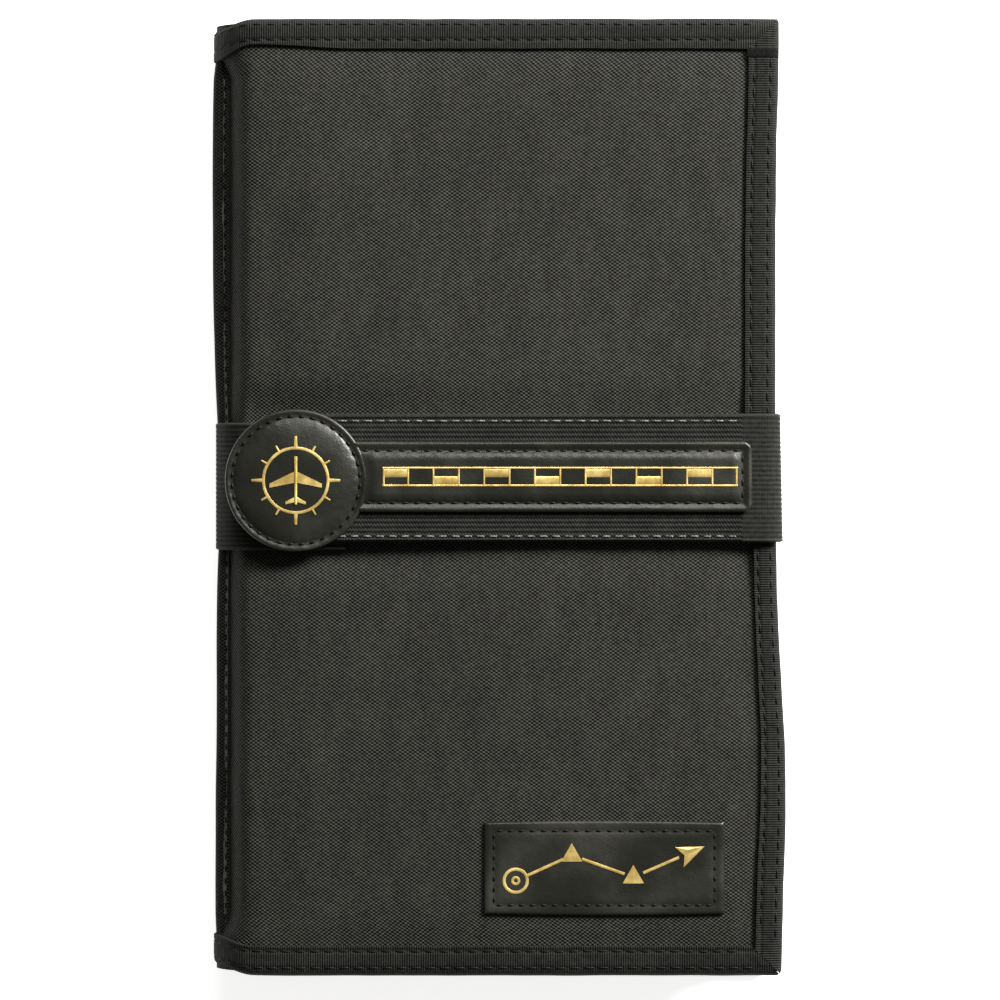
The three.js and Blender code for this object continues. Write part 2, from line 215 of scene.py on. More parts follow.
def slab(name, rows, material, angle=50):
    """A closed sheet from rows of (outer point, inner point, place on the fabric)."""
    height = len(rows)
    width = len(rows[0])
    cells = [cell for row in rows for cell in row]
    points = [cell[0] for cell in cells] + [cell[1] for cell in cells]
    places = [cell[2] for cell in cells]

    def at(i, j, layer):
        return layer * height * width + i * width + j

    faces = []
    for i in range(height - 1):
        for j in range(width - 1):
            faces.append((at(i, j, 0), at(i, j + 1, 0), at(i + 1, j + 1, 0), at(i + 1, j, 0)))
            faces.append((at(i, j, 1), at(i + 1, j, 1), at(i + 1, j + 1, 1), at(i, j + 1, 1)))
    for i in range(height - 1):
        for j in (0, width - 1):
            faces.append((at(i, j, 0), at(i + 1, j, 0), at(i + 1, j, 1), at(i, j, 1)))
    for j in range(width - 1):
        for i in (0, height - 1):
            faces.append((at(i, j, 0), at(i, j, 1), at(i, j + 1, 1), at(i, j + 1, 0)))
    return make_mesh(name, points, faces, material, places + places, angle)


def tube_faces(count, size, closed=False):
    """Side faces of a tube through rings of the same number of points."""
    faces = []
    for k in range(count if closed else count - 1):
        ring = k * size
        next_ring = (k + 1) % count * size
        for i in range(size):
            after = (i + 1) % size
            faces.append((ring + i, ring + after, next_ring + after, next_ring + i))
    return faces


def end_faces(count, size):
    """The two flat ends of such a tube."""
    last = (count - 1) * size
    return [tuple(range(size)), tuple(range(last + size - 1, last - 1, -1))]


def loft(name, rings, material, angle=50):
    """A closed body through rings of (point, place on the fabric), with flat ends."""
    count = len(rings)
    size = len(rings[0])
    points = [cell[0] for ring in rings for cell in ring]
    places = [cell[1] for ring in rings for cell in ring]
    faces = tube_faces(count, size) + end_faces(count, size)
    return make_mesh(name, points, faces, material, places, angle)


def join_parts(name, parts, material, angle=50):
    """One mesh object from several (points, faces) bodies."""
    points = []
    faces = []
    for part_points, part_faces in parts:
        base = len(points)
        points.extend(part_points)
        faces.extend(tuple(base + i for i in face) for face in part_faces)
    return make_mesh(name, points, faces, material, [(p[0], p[1]) for p in points], angle)


# ---------- materials ----------

def carry(piece, body, *nodes):
    """The piece moves with one body, and stands for the CAD nodes given."""
    if nodes:
        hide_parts(*nodes)
    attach(piece, body)


class Shader:
    """A Principled material with short calls for the nodes it needs."""

    COLOR_A, COLOR_B, COLOR_OUT = 6, 7, 2    # sockets of a Mix node that mixes colours

    def __init__(self, name):
        self.material = bpy.data.materials.new(name)
        self.material.use_nodes = True
        self.nodes = self.material.node_tree.nodes
        self.links = self.material.node_tree.links
        self.surface = self.nodes["Principled BSDF"]

    def feed(self, socket, value):
        if isinstance(value, bpy.types.NodeSocket):
            self.links.new(value, socket)
        elif isinstance(value, (tuple, list)) and len(value) == 3 and socket.type == "RGBA":
            socket.default_value = (*value, 1.0)
        else:
            socket.default_value = value

    def math(self, operation, a, b=0.0, c=0.0):
        node = self.nodes.new("ShaderNodeMath")
        node.operation = operation
        for socket, value in zip(node.inputs, (a, b, c)):
            self.feed(socket, value)
        return node.outputs[0]

    def cloth(self):
        """Place on the fabric, in millimetres, as two values."""
        node = self.nodes.new("ShaderNodeAttribute")
        node.attribute_name = "cloth"
        split = self.nodes.new("ShaderNodeSeparateXYZ")
        self.links.new(node.outputs["Vector"], split.inputs[0])
        return split.outputs[0], split.outputs[1]

    def space(self):
        """Place in the object's own space, in metres."""
        return self.nodes.new("ShaderNodeTexCoord").outputs["Object"]

    def stretched(self, across):
        """Object space drawn out along Y, for slubs that run along a thread."""
        node = self.nodes.new("ShaderNodeMapping")
        node.inputs["Scale"].default_value = (1.0, across, 1.0)
        self.links.new(self.space(), node.inputs["Vector"])
        return node.outputs["Vector"]

    def noise(self, scale, detail=3.0, vector=None, roughness=0.5):
        node = self.nodes.new("ShaderNodeTexNoise")
        node.inputs["Scale"].default_value = scale
        node.inputs["Detail"].default_value = detail
        node.inputs["Roughness"].default_value = roughness
        self.links.new(vector if vector is not None else self.space(), node.inputs["Vector"])
        return node.outputs["Fac"]

    def speckle(self, scale, detail, height, vector=None):
        """Noise of a full height, centred on zero."""
        return self.math("MULTIPLY_ADD", self.noise(scale, detail, vector), height, -height / 2)

    def cells(self, scale):
        node = self.nodes.new("ShaderNodeTexVoronoi")
        node.inputs["Scale"].default_value = scale
        self.links.new(self.space(), node.inputs["Vector"])
        return node.outputs["Distance"]

    def wave(self, value, pitch, phase=0.0):
        """Sine of a length, with one full turn in each pitch."""
        return self.math("SINE", self.math("MULTIPLY_ADD", value, 2 * math.pi / pitch, phase))

    def remap(self, value, low, high, to_low=0.0, to_high=1.0):
        node = self.nodes.new("ShaderNodeMapRange")
        node.interpolation_type = "SMOOTHSTEP"
        for socket, number in zip(list(node.inputs)[:5], (value, low, high, to_low, to_high)):
            self.feed(socket, number)
        return node.outputs[0]

    def mix(self, factor, a, b, blend="MIX"):
        node = self.nodes.new("ShaderNodeMix")
        node.data_type = "RGBA"
        node.blend_type = blend
        self.feed(node.inputs["Factor"], factor)
        self.feed(node.inputs[self.COLOR_A], a)
        self.feed(node.inputs[self.COLOR_B], b)
        return node.outputs[self.COLOR_OUT]

    def ramp(self, value, low, high, dark, light):
        """One colour below a value, another above a second one."""
        return self.mix(self.remap(value, low, high), dark, light)

    def patchy(self, color, scale, low, high):
        """Broad soft patches that darken and lighten a colour."""
        patches = self.remap(self.noise(scale), 0.3, 0.7, low, high)
        return self.mix(1.0, color, patches, "MULTIPLY")

    def bump(self, height, strength, depth, normal=None):
        """Bump of the given depth in metres."""
        node = self.nodes.new("ShaderNodeBump")
        node.inputs["Strength"].default_value = strength
        node.inputs["Distance"].default_value = depth
        self.links.new(height, node.inputs["Height"])
        if normal is not None:
            self.links.new(normal, node.inputs["Normal"])
        return node.outputs["Normal"]

    def finish(self, color, roughness, normal=None, **uniform):
        self.feed(self.surface.inputs["Base Color"], color)
        self.feed(self.surface.inputs["Roughness"], roughness)
        if normal is not None:
            self.links.new(normal, self.surface.inputs["Normal"])
        for name, value in uniform.items():
            self.surface.inputs[name.replace("_", " ")].default_value = value
        return self.material


def grey(level, yellow=0.12):
    """Linear grey of an sRGB level from 0 to 255. The case's blacks lean a little to yellow."""
    linear = (level / 255) ** 2.2
    return (linear, linear, linear * (1 - yellow))


def one_grain(name, texture, ends, colors, roughness, bump, specular):
    """A plain stuff that one even grain colours and roughens."""
    s = Shader(name)
    grain = texture(s)
    return s.finish(s.ramp(grain, *ends, *colors), roughness, s.bump(grain, *bump),
                    Specular_IOR_Level=specular)


def nylon_material(name):
    """Ballistic nylon: a plain weave whose crowns stand in staggered rows. Painted light: the crowns are
    coloured bright for their sheen and the gaps between them dark for their shade, on top of real fleck and
    slub.
    """
    s = Shader(name)
    u, v = s.cloth()
    checks = s.math("MULTIPLY", s.wave(u, 2 * WEAVE_U), s.wave(v, 2 * WEAVE_V))
    fleck = s.speckle(900.0, 2.0, 0.9)
    slub = s.speckle(260.0, 3.0, 0.5, s.stretched(0.3))
    # painted highlight and shade: the weave's crowns get the light colour and its gaps the dark one
    color = s.ramp(s.math("ADD", s.math("ADD", checks, fleck), slub), -0.6, 1.0, grey(3), grey(68))
    return s.finish(s.patchy(color, 24.0, 0.93, 1.06), 0.72, s.bump(checks, 0.5, 0.00012),
                    Specular_IOR_Level=0.12)


def tape_material(name):
    """Grosgrain tape: fine ribs across its length and woven selvedges."""
    s = Shader(name)
    u, v = s.cloth()
    ribs = s.wave(u, RIB_PITCH)
    grain = s.speckle(800.0, 2.0, 1.3)
    slub = s.speckle(220.0, 3.0, 1.0)
    woven = s.math("MULTIPLY_ADD", ribs, 0.6, s.math("MULTIPLY", s.wave(v, 0.42), 0.1))
    lit = s.math("ADD", s.math("ADD", woven, grain), slub)
    color = s.patchy(s.ramp(lit, -0.8, 0.9, grey(5), grey(42)), 45.0, 0.84, 1.12)
    return s.finish(color, 0.7, s.bump(ribs, 0.6, 0.00012), Specular_IOR_Level=0.15)


def plain_tape_material(name):
    """The smooth turned-in end of the binding tape."""
    return one_grain(name, lambda s: s.noise(1500.0, 2.0), (0.3, 0.7), (grey(8), grey(24)),
                     0.8, (0.4, 0.00006), 0.1)


def elastic_material(name):
    """Elastic webbing: dark grooves along it, with short cross threads between them, and a painted highlight
    along both rolled edges.
    """
    s = Shader(name)
    u, v = s.cloth()
    ribs = s.wave(v, ELASTIC_RIB, math.pi / 2)
    cross = s.wave(u, 0.72)
    woven = s.math("MULTIPLY_ADD", ribs, 0.48, s.math("MULTIPLY", cross, 0.1))
    lit = s.math("ADD", woven, s.speckle(900.0, 2.0, 1.2))
    # painted highlight: the outer 0.6 mm along both rolled edges is coloured lighter
    painted_edge_highlight = s.remap(s.math("ABSOLUTE", v), SELVEDGE - 0.6, SELVEDGE)
    lit = s.math("MULTIPLY_ADD", painted_edge_highlight, 0.7, lit)
    color = s.patchy(s.ramp(lit, -0.8, 0.9, grey(7), grey(46)), 60.0, 0.85, 1.12)
    relief = s.math("MULTIPLY_ADD", cross, 0.15, ribs)
    return s.finish(color, 0.7, s.bump(relief, 0.5, 0.0001), Specular_IOR_Level=0.15)


def facing_material(name):
    """Herringbone facing: rows of fine zigzag along the strap."""
    s = Shader(name)
    u, v = s.cloth()
    zigzag = s.math("PINGPONG", u, 0.42)
    rows = s.wave(s.math("MULTIPLY_ADD", zigzag, 1.1, v), ELASTIC_RIB)
    uneven = s.math("ADD", s.speckle(900.0, 2.0, 1.3), s.speckle(150.0, 3.0, 0.9))
    lit = s.math("MULTIPLY_ADD", rows, 0.42, uneven)
    color = s.ramp(lit, -0.8, 1.2, grey(7), grey(45))
    return s.finish(color, 0.68, s.bump(rows, 0.6, 0.00014), Specular_IOR_Level=0.15)


def leather_material(name):
    """Black satin leather with a fine pebbled grain and faint creases."""
    s = Shader(name)
    wear = s.noise(60.0, 4.0)
    color = s.ramp(wear, 0.35, 0.75, grey(31, 0.25), grey(44, 0.25))
    pebbles = s.bump(s.cells(1700.0), 0.3, 0.0001)
    normal = s.bump(s.noise(170.0, 5.0, roughness=0.62), 0.4, 0.0005, pebbles)
    return s.finish(color, s.remap(wear, 0.3, 0.7, 0.3, 0.46), normal, Specular_IOR_Level=0.5)


def thread_material(name, level):
    """Twisted sewing thread."""
    return one_grain(name, lambda s: s.noise(2600.0, 1.0), (0.35, 0.65),
                     (grey(level * 0.6), grey(level * 1.4)), 0.6, (0.5, 0.00005), 0.2)


def gilt_material(name):
    """Pressed gilt with faint brushing and darker rubbed spots."""
    s = Shader(name)
    brushed = s.noise(420.0, 3.0)
    color = s.ramp(s.noise(240.0, 4.0), 0.32, 0.68, (0.60, 0.41, 0.12), (0.96, 0.73, 0.27))
    rough = s.remap(brushed, 0.3, 0.7, 0.24, 0.42)
    # only partly metallic: part of the gilt's brightness is its diffuse colour, a painted reflection standing
    # for bright surroundings the dim world doesn't give
    return s.finish(color, rough, s.bump(brushed, 0.6, 0.00012), Metallic=0.62)


def lining_material(name):
    """Coated lining cloth with a fine even weave."""
    s = Shader(name)
    u, v = s.cloth()
    checks = s.math("MULTIPLY", s.wave(u, 0.56), s.wave(v, 0.56))
    color = s.ramp(checks, -0.8, 0.9, grey(18, 0.02), grey(44, 0.02))
    return s.finish(s.patchy(color, 35.0, 0.85, 1.12), 0.55, s.bump(checks, 0.4, 0.00005),
                    Specular_IOR_Level=0.25)


def foam_material(name):
    """Open foam."""
    return one_grain(name, lambda s: s.cells(1400.0), (0.1, 0.6), (grey(40, 0), grey(80, 0)),
                     0.95, (0.8, 0.0002), 0.1)


def board_material(name):
    """Fibrous stiffener board."""
    return one_grain(name, lambda s: s.noise(380.0, 5.0, roughness=0.7), (0.35, 0.65),
                     (grey(80), grey(110)), 0.85, (0.4, 0.0001), 0.2)


def hook_material(name, scale):
    """Hook or loop tape: a dense nap."""
    return one_grain(name, lambda s: s.cells(scale), (0.1, 0.7), (grey(38, 0), grey(8, 0)),
                     0.9, (1.0, 0.0003), 0.1)


def vinyl_material(name):
    """Clear film, a little wavy and dusty."""
    s = Shader(name)
    dust = s.noise(70.0, 3.0)
    color = s.ramp(dust, 0.35, 0.75, (0.175, 0.185, 0.195), (0.2, 0.212, 0.222))
    waves = s.bump(s.noise(25.0, 2.0), 0.1, 0.001)
    return s.finish(color, s.remap(dust, 0.35, 0.7, 0.1, 0.15), waves,
                    Alpha=0.22, IOR=1.5, Specular_IOR_Level=0.5)


def weld_material(name):
    """Embossed weld: a fine pressed grain in dark film."""
    return one_grain(name, lambda s: s.cells(900.0), (0.1, 0.6), (grey(34, 0), grey(20, 0)),
                     0.4, (0.5, 0.00015), 0.4)


def make_materials():
    """Every material, by what it is used for."""
    return {
        "nylon": nylon_material("ballistic_nylon"),
        "tape": tape_material("grosgrain_tape"),
        "tape_end": plain_tape_material("tape_turned_end"),
        "elastic": elastic_material("ribbed_elastic"),
        "facing": facing_material("herringbone_facing"),
        "leather": leather_material("black_leather"),
        "thread": thread_material("black_thread", 7),
        "light_thread": thread_material("worn_thread", 92),
        "gilt": gilt_material("pressed_gilt"),
        "lining": lining_material("coated_lining"),
        "foam": foam_material("padding_foam"),
        "board": board_material("stiffener_board"),
        "hook": hook_material("hook_tape", 1500.0),
        "loop": hook_material("loop_tape", 1100.0),
        "vinyl": vinyl_material("clear_film"),
        "weld": weld_material("film_weld"),
    }


# ---------- shape of the case ----------

ROLL_END_X = SPINE_X + 15.2              # where the cover turns flat
ROLL_STEPS = 31


def roll_line(y):
    """Outer nylon from the middle of the spine to the flat cover at height y, seen from the bottom
    edge: a rounded fold with a gutter beside the spine, which the binding smooths out at the ends."""
    out = -bulge_at(y)
    gutter = [
        (out, 0), (out + 0.1, 0.9), (out + 0.8, 1.9), (mix(out + 2.3, 1.5, 0.3), 2.3), (2.4, 1.9),
        (3.4, 3.3), (4.6, 5.8), (6.1, 8.1), (8.3, 9.5), (11.8, 9.95),
    ]
    held = ease((abs(y) - TOP_Y + 17) / 10)
    points = [(mix(gx, sx, held), mix(gz, sz, held)) for (gx, gz), (sx, sz) in zip(gutter, SMOOTH_ROLL)]
    return smooth_curve(on_spine(points) + [(ROLL_END_X, SKIN_Z)], ROLL_STEPS)


def on_spine(points):
    """Points measured from the spine's skin and the case's mid-depth, as places."""
    return [(SPINE_X + x, MIDDLE + z) for x, z in points]


SMOOTH_ROLL = [
    (-1.15, 0), (-1.1, 0.8), (-0.95, 1.7), (-0.65, 2.6), (-0.1, 3.7),
    (0.9, 5.1), (2.4, 6.7), (4.6, 8.3), (7.6, 9.4), (11.2, 9.95),
]
INNER_ROLL = on_spine([
    (2.9, 0), (3.1, 1.2), (3.8, 2.2), (4.5, 3.3), (5.1, 4.4), (6.0, 5.3), (7.5, 6.1), (10.2, 6.5),
]) + [(ROLL_END_X, LINING_Z)]


def bulge_at(y):
    """The spine swells between its bindings and the strap, a little unevenly."""
    held = ease((abs(y) - TOP_Y + 30) / 27)
    uneven = 0.6 * hump(y, 88, 45) - 0.5 * hump(y, -52, 46)
    strapped = STRAP_PINCH * hump(y, (LEFT_BAND[0].y + LEFT_BAND[1].y) / 2, 24)
    return (SPINE_BULGE + uneven) * (1 - 0.12 * held) - strapped


def fore_bow(y):
    """The fore-edge isn't quite straight."""
    return 2.9 * hump(y, -82, 42) + 1.0 * hump(y, TOP_Y, 34) + 0.9 * hump(y, -TOP_Y, 22)


class Half:
    """One cover with its half of the spine: the front, or its mirror at the back."""

    def __init__(self, side):
        self.side = side
        self.front = side == "front"
        self.body = f"{side}_cover"
        self.bow = 1.0 if self.front else 0.45
        self.blend_start = self.place((SPINE_X + 1.5, 0, MIDDLE + 1.0))
        self.blend_end = self.place((SPINE_X + 8.5, 0, MIDDLE + 8.5))

    def place(self, point):
        """A point of the front half, mirrored for the back."""
        x, y, z = point
        return Vector((x, y, z if self.front else DEPTH - z))

    def turn(self, direction):
        """A direction of the front half, mirrored for the back."""
        return self.place(direction) - self.place((0, 0, 0))

    def cell(self, outer, inner, run, y):
        """A cell of a sheet at height y, from its outer and inner (x, z) points."""
        return self.place((outer.x, y, outer.y)), self.place((inner.x, y, inner.y)), (run, y)

    def bend(self, piece):
        """Bakes the piece's place into its mesh; it is not made to bend over the fold between the spine and
        this cover.
        """
        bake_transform(piece)

    def section(self, columns_x, y):
        """Outer and inner points of the padded cover at height y, from mid-spine to fore-edge."""
        outer = roll_line(y)
        inner = smooth_curve(INNER_ROLL, ROLL_STEPS)
        outer += [Vector((x, SKIN_Z)) for x in columns_x]
        inner += [Vector((x, LINING_Z)) for x in columns_x]
        shift = fore_bow(y) * self.bow
        for line in (outer, inner):
            for p in line:
                p.x += shift * ease((p.x - BOW_FROM) / (FORE_X - BOW_FROM))
        return outer, inner


def surface_lift(x, y, front):
    """Padding of a cover: swollen between the bindings, pressed in by the strap, softly uneven."""
    bow = fore_bow(y) * ease((x - BOW_FROM) / (FORE_X - BOW_FROM))
    from_fore = FORE_X + bow - TAPE_WIDTH - x
    from_end = TOP_Y - TAPE_WIDTH - abs(y)
    inside_x = ease((from_fore + 1) / PUFF_REACH) * ease((x - ROLL_END_X + 2) / 14)
    inside_y = ease((from_end + 1) / PUFF_REACH)
    lift = COVER_PUFF * (inside_x * inside_y) ** 0.7
    bite = max(hump(from_fore, -0.6, 1.5), hump(from_end, -0.6, 1.5) * ease((x - SPINE_X) / 6))
    lift -= TAPE_BITE * bite
    pressed = ease((y - LEFT_BAND[0].y + 12) / 12) * ease((ARM[1].y + 11 - y) / 12)
    side = mix(2.3, 0.7, ease((x + 66) / 80))
    lift -= STRAP_DIP * pressed * side * ease((x - SPINE_X - 3) / 7)
    lift += 0.16 * wobble(x, y, 34, 3.1) * inside_y + 0.09 * wobble(x, y, 15, 8.4) * inside_y
    return lift if front else 0.35 * lift


def build_nylon(half, kit):
    """The outer nylon of one cover and its half of the spine, as one sheet."""
    half_y = TOP_Y - 1.4
    rows = []
    for y in spread(-half_y, half_y, 108):
        line, _ = half.section(spread(ROLL_END_X, FORE_X - 1.2, 58)[1:], y)
        row = []
        for k, (p, normal, run) in enumerate(along_line(line)):
            by_spine = (1 - ease((p.x - SPINE_X - 6) / 8)) * (k > 3)
            crinkle = 0.12 * wobble(p.x, y, 7, 1.7) * by_spine
            lifted = p + normal * (surface_lift(p.x, y, half.front) + crinkle)
            row.append(half.cell(lifted, lifted - normal * NYLON, run, y))
        rows.append(row)
    piece = slab(f"{half.side}_nylon", rows, kit["nylon"])
    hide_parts(f"{half.side}_skin", "spine_skin")
    half.bend(piece)


def build_lining(half, kit):
    """The lining of one cover and its half of the spine, as one sheet."""
    half_y = TOP_Y - 1.6
    rows = []
    for y in spread(-half_y, half_y, 60):
        _, line = half.section(spread(ROLL_END_X, FORE_X - 1.4, 30)[1:], y)
        row = []
        for p, normal, run in along_line(line):
            face = p + normal * 0.05 * wobble(p.x, y, 20, 5.0)
            row.append(half.cell(face + normal * LINING, face, run, y))
        rows.append(row)
    piece = slab(f"{half.side}_lining_cloth", rows, kit["lining"])
    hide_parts(f"{half.side}_lining", "spine_lining")
    half.bend(piece)


def build_core(half, kit):
    """Foam and stiffener board inside a cover. The foam fills the room up to the nylon."""
    board_top = LINING_Z + LINING + 0.75
    for name, slot, inset in (("foam", "foam", 3.2), ("board", "stiffener", 2.6)):
        rows = []
        for y in spread(inset - TOP_Y, TOP_Y - inset, 70):
            row = []
            for x in spread(ROLL_END_X + 1, FORE_X - inset, 44):
                low = LINING_Z + LINING + 0.08
                high = board_top
                if name == "foam":
                    low = board_top + 0.06
                    high = SKIN_Z + surface_lift(x, y, half.front) - NYLON - 0.12
                top = Vector((x, max(high, low + 0.15)))
                row.append(half.cell(top, Vector((x, low)), x, y))
            rows.append(row)
        piece = slab(f"{half.side}_{name}_sheet", rows, kit[name])
        carry(piece, half.body, f"{half.side}_{name}")


# ---------- binding tape ----------

def groove(u, rows):
    """Stitches pull the tape in along each row."""
    return 0.22 * sum(hump(u, row, 0.45) for row in rows)


def tape_loop(width, rows):
    """Section of the folded tape: (depth in from the edge, share of half the depth, layer)."""
    us = [width, width - 0.25, *spread(width - 0.9, 2.4, 18)]
    round_steps = [i * math.pi / 10 for i in range(1, 10)]
    outer = [(u, 1.0, TAPE - groove(u, rows) - 0.35 * (u == width)) for u in us]
    nose = [(2.3 - 2.3 * math.sin(a), math.cos(a), TAPE) for a in round_steps]
    under = [(u, -1.0, TAPE - groove(u, rows) - 0.35 * (u == width)) for u in reversed(us)]
    back = [(u, -1.0, 0.03) for u in spread(width, 2.8, 5)]
    hollow = [(2.8 - 1.7 * math.sin(a), math.cos(math.pi - a) * 0.98, 0.0) for a in round_steps[1:-1:2]]
    front = [(u, 1.0, 0.03) for u in spread(2.8, width, 5)]
    return outer + nose + under + back + hollow + front


def tape_pucker(u, along):
    """Puffs between stitches, strongest between the two rows."""
    inside = ease((u - 0.8) / 1.5) * ease((TAPE_WIDTH - 0.4 - u) / 1.5)
    puff = TAPE_PUCKER * inside * math.cos(2 * math.pi * along / TAPE_SEAM[0])
    return puff + 0.05 * wobble(along, u, 5, 4.4)


def tape_section(loop, outer, inner, to_point, along):
    """One tape ring: its points with their places on the tape."""
    middle = (outer + inner) / 2
    half_depth = (outer - inner).length / 2
    axis = (outer - inner).normalized()
    ring = []
    across = 0.0
    previous = None
    for u, share, layer in loop:
        if layer > TAPE / 2:
            layer += tape_pucker(u, along)
        reach = share * (half_depth + layer)
        if abs(share) > 0.98:
            reach = share * half_depth + math.copysign(layer, share)
        if previous is not None:
            across += math.hypot(u - previous[0], reach - previous[1])
        previous = (u, reach)
        place, shift = to_point(u, middle + axis * reach)
        ring.append((place, (along + shift, across)))
    return ring


def tape_width_at(x, sign):
    """The top binding is a little narrower at the spine side, and both flare as they go round it."""
    flare = 1.9 * ease((SPINE_X + 9 - x) / 9)
    if sign > 0:
        return TAPE_WIDTH - 1.3 * ease((-38 - x) / 30) + 0.25 + flare
    return TAPE_WIDTH - 0.1 + 0.3 * flare


def fore_width(y):
    """The fore-edge binding narrows under the strap and stays narrower below it."""
    return TAPE_WIDTH + 0.3 - 2.1 * ease((25 - y) / 42) + 0.9 * ease((-20 - y) / 100)


def round_corner(x, y, corner_x):
    """Keeps a point of a binding inside the rounded corner of its cover."""
    radius = 0.9 if y > 0 else 1.9
    dx = x - corner_x + radius
    dy = abs(y) - TOP_Y + radius
    reach = math.hypot(dx, dy)
    if dx <= 0 or dy <= 0 or reach <= radius:
        return x, y
    return x - dx * (1 - radius / reach), y - math.copysign(dy * (1 - radius / reach), y)


def end_pull(x):
    """The tape is drawn in a little as it goes round the spine."""
    return 2.0 * ease((SPINE_X + 9.5 - x) / 11)


class TapeRows:
    """The lines that a binding's stitches follow, on its outer and its inner face."""

    def __init__(self, half, offsets):
        self.half = half
        self.lines = {(row, face): ([], []) for face in (1, -1) for row in offsets}

    def add(self, outer, inner, to_point, shrink=1.0):
        """One more place on each line."""
        axis = (outer - inner).normalized()
        for (row, face), (points, normals) in self.lines.items():
            start = outer if face > 0 else inner
            p = start + axis * face * (TAPE - groove(row, [row]))
            points.append(to_point(row * shrink, p)[0])
            normals.append(self.half.turn((axis.x * face, 0, axis.y * face)))


def tape_pieces(half, end, rings, rows, kit):
    """A binding and its stitches."""
    tape = loft(f"{half.side}_tape_{end}", rings, kit["tape"], 42)
    threads = stitches(f"{half.side}_tape_{end}_stitches", rows.lines.values(), TAPE_SEAM,
                       kit["thread"])
    return tape, threads


def build_edge_tape(half, sign, kit):
    """Top or bottom binding of one cover, from mid-spine to the mitre at the fore-edge."""
    end = "top" if sign > 0 else "bottom"
    corner_x = FORE_X + fore_bow(sign * TOP_Y) * half.bow
    outer, inner = half.section(spread(ROLL_END_X, FORE_X, 140)[1:], sign * TOP_Y)
    rings = []
    rows = TapeRows(half, TAPE_ROWS[end])
    run = 0.0
    flat_start = ROLL_STEPS - 1
    for k, (o, i) in enumerate(zip(outer, inner)):
        run += (o - outer[max(k - 1, 0)]).length
        loop = tape_loop(tape_width_at(o.x, sign), TAPE_ROWS[end])
        share = max(0.0, (k - flat_start) / (len(outer) - 1 - flat_start))
        pull = end_pull(o.x) + 0.12 * wobble(o.x, sign * 40, 9, 2.0)

        def to_point(u, p, share=share, pull=pull, nominal=o.x):
            x = p.x
            shift = 0.0
            if share > 0:
                x = mix(ROLL_END_X, corner_x - MITRE_GAP - u * MITRE_SLOPE, share)
                shift = x - nominal
            px, py = round_corner(x, sign * (TOP_Y - pull - u), corner_x)
            return half.place((px, py, p.y)), shift

        rings.append(tape_section(loop, o, i, to_point, run))
        if share < 0.97:
            rows.add(o, i, to_point)
    tape, threads = tape_pieces(half, end, rings, rows, kit)
    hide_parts(f"{half.side}_binding_{end}", f"spine_binding_{end}")
    half.bend(tape)
    half.bend(threads)


def build_fore_tape(half, kit):
    """Fore-edge binding of one cover, between the two mitres."""
    outer = Vector((0, SKIN_Z))
    inner = Vector((0, LINING_Z))
    rings = []
    rows = TapeRows(half, TAPE_ROWS["fore"])
    for share in spread(0.0, 1.0, 260):
        y_mid = mix(-TOP_Y, TOP_Y, share)
        edge_x = FORE_X + fore_bow(y_mid) * half.bow
        shrink = fore_width(y_mid) / TAPE_WIDTH
        loop = tape_loop(fore_width(y_mid), [row * shrink for row in TAPE_ROWS["fore"]])
        tilt = 0.5 * hump(y_mid, -75, 45) * (1 if half.front else 0.3)
        ripple = 0.1 * wobble(y_mid, 3, 8, 6.0)

        def to_point(u, p, share=share, edge_x=edge_x, tilt=tilt, ripple=ripple, nominal=y_mid):
            reach = TOP_Y - MITRE_GAP - u * MITRE_SLOPE
            y = mix(-reach, reach, share)
            x, py = round_corner(edge_x + ripple - u, y, edge_x)
            return half.place((x, py, p.y - tilt * (1 - ease(u / 9)))), y - nominal

        rings.append(tape_section(loop, outer, inner, to_point, y_mid))
        if 0.03 < share < 0.97:
            rows.add(outer, inner, to_point, shrink)
    tape, threads = tape_pieces(half, "fore", rings, rows, kit)
    carry(tape, half.body, f"{half.side}_binding_fore")
    carry(threads, half.body)


def build_turned_end(half, kit):
    """The top tape's end, turned under at the fore-edge corner and sewn flat."""
    corner = FORE_X + fore_bow(TOP_Y) * half.bow - 0.4
    steps = 8
    rows = []
    for i in range(steps + 1):
        x = corner - (TAPE_WIDTH + 0.1) * (1 - i / steps)
        fall = 0.9 * ease((x - corner + 2.2) / 2.4) ** 2
        row = []
        for j in range(steps + 1):
            y = TOP_Y - TAPE_WIDTH + mix(0.2, -2.6, j / steps)
            rim = 0.2 * (j in (0, steps)) + 0.1 * (i in (0, steps))
            top = Vector((x, DEPTH + 0.18 - rim - fall))
            row.append(half.cell(top, Vector((x, DEPTH - 0.1 - fall)), x, y))
        rows.append(row)
    piece = slab(f"{half.side}_tape_turned_end", rows, kit["tape_end"], 60)
    carry(piece, half.body)


# ---------- stitches ----------

def one_stitch(centre_line, normal, radius):
    """A short thread whose two ends dive into the fabric."""
    sides = 6
    steps = len(centre_line)
    points = []
    for k, p in enumerate(centre_line):
        before = centre_line[max(k - 1, 0)]
        after = centre_line[min(k + 1, steps - 1)]
        along = (after - before).normalized()
        side = along.cross(normal).normalized()
        share = 2 * k / (steps - 1) - 1
        rise = radius * (0.45 - 1.7 * share ** 4)
        thick = radius * (1 - 0.35 * share * share)
        for angle in turns(sides):
            across = side * thick * math.cos(angle) * 1.15
            points.append(p + normal * (rise + thick * math.sin(angle)) + across)
    return points, tube_faces(steps, sides) + end_faces(steps, sides)


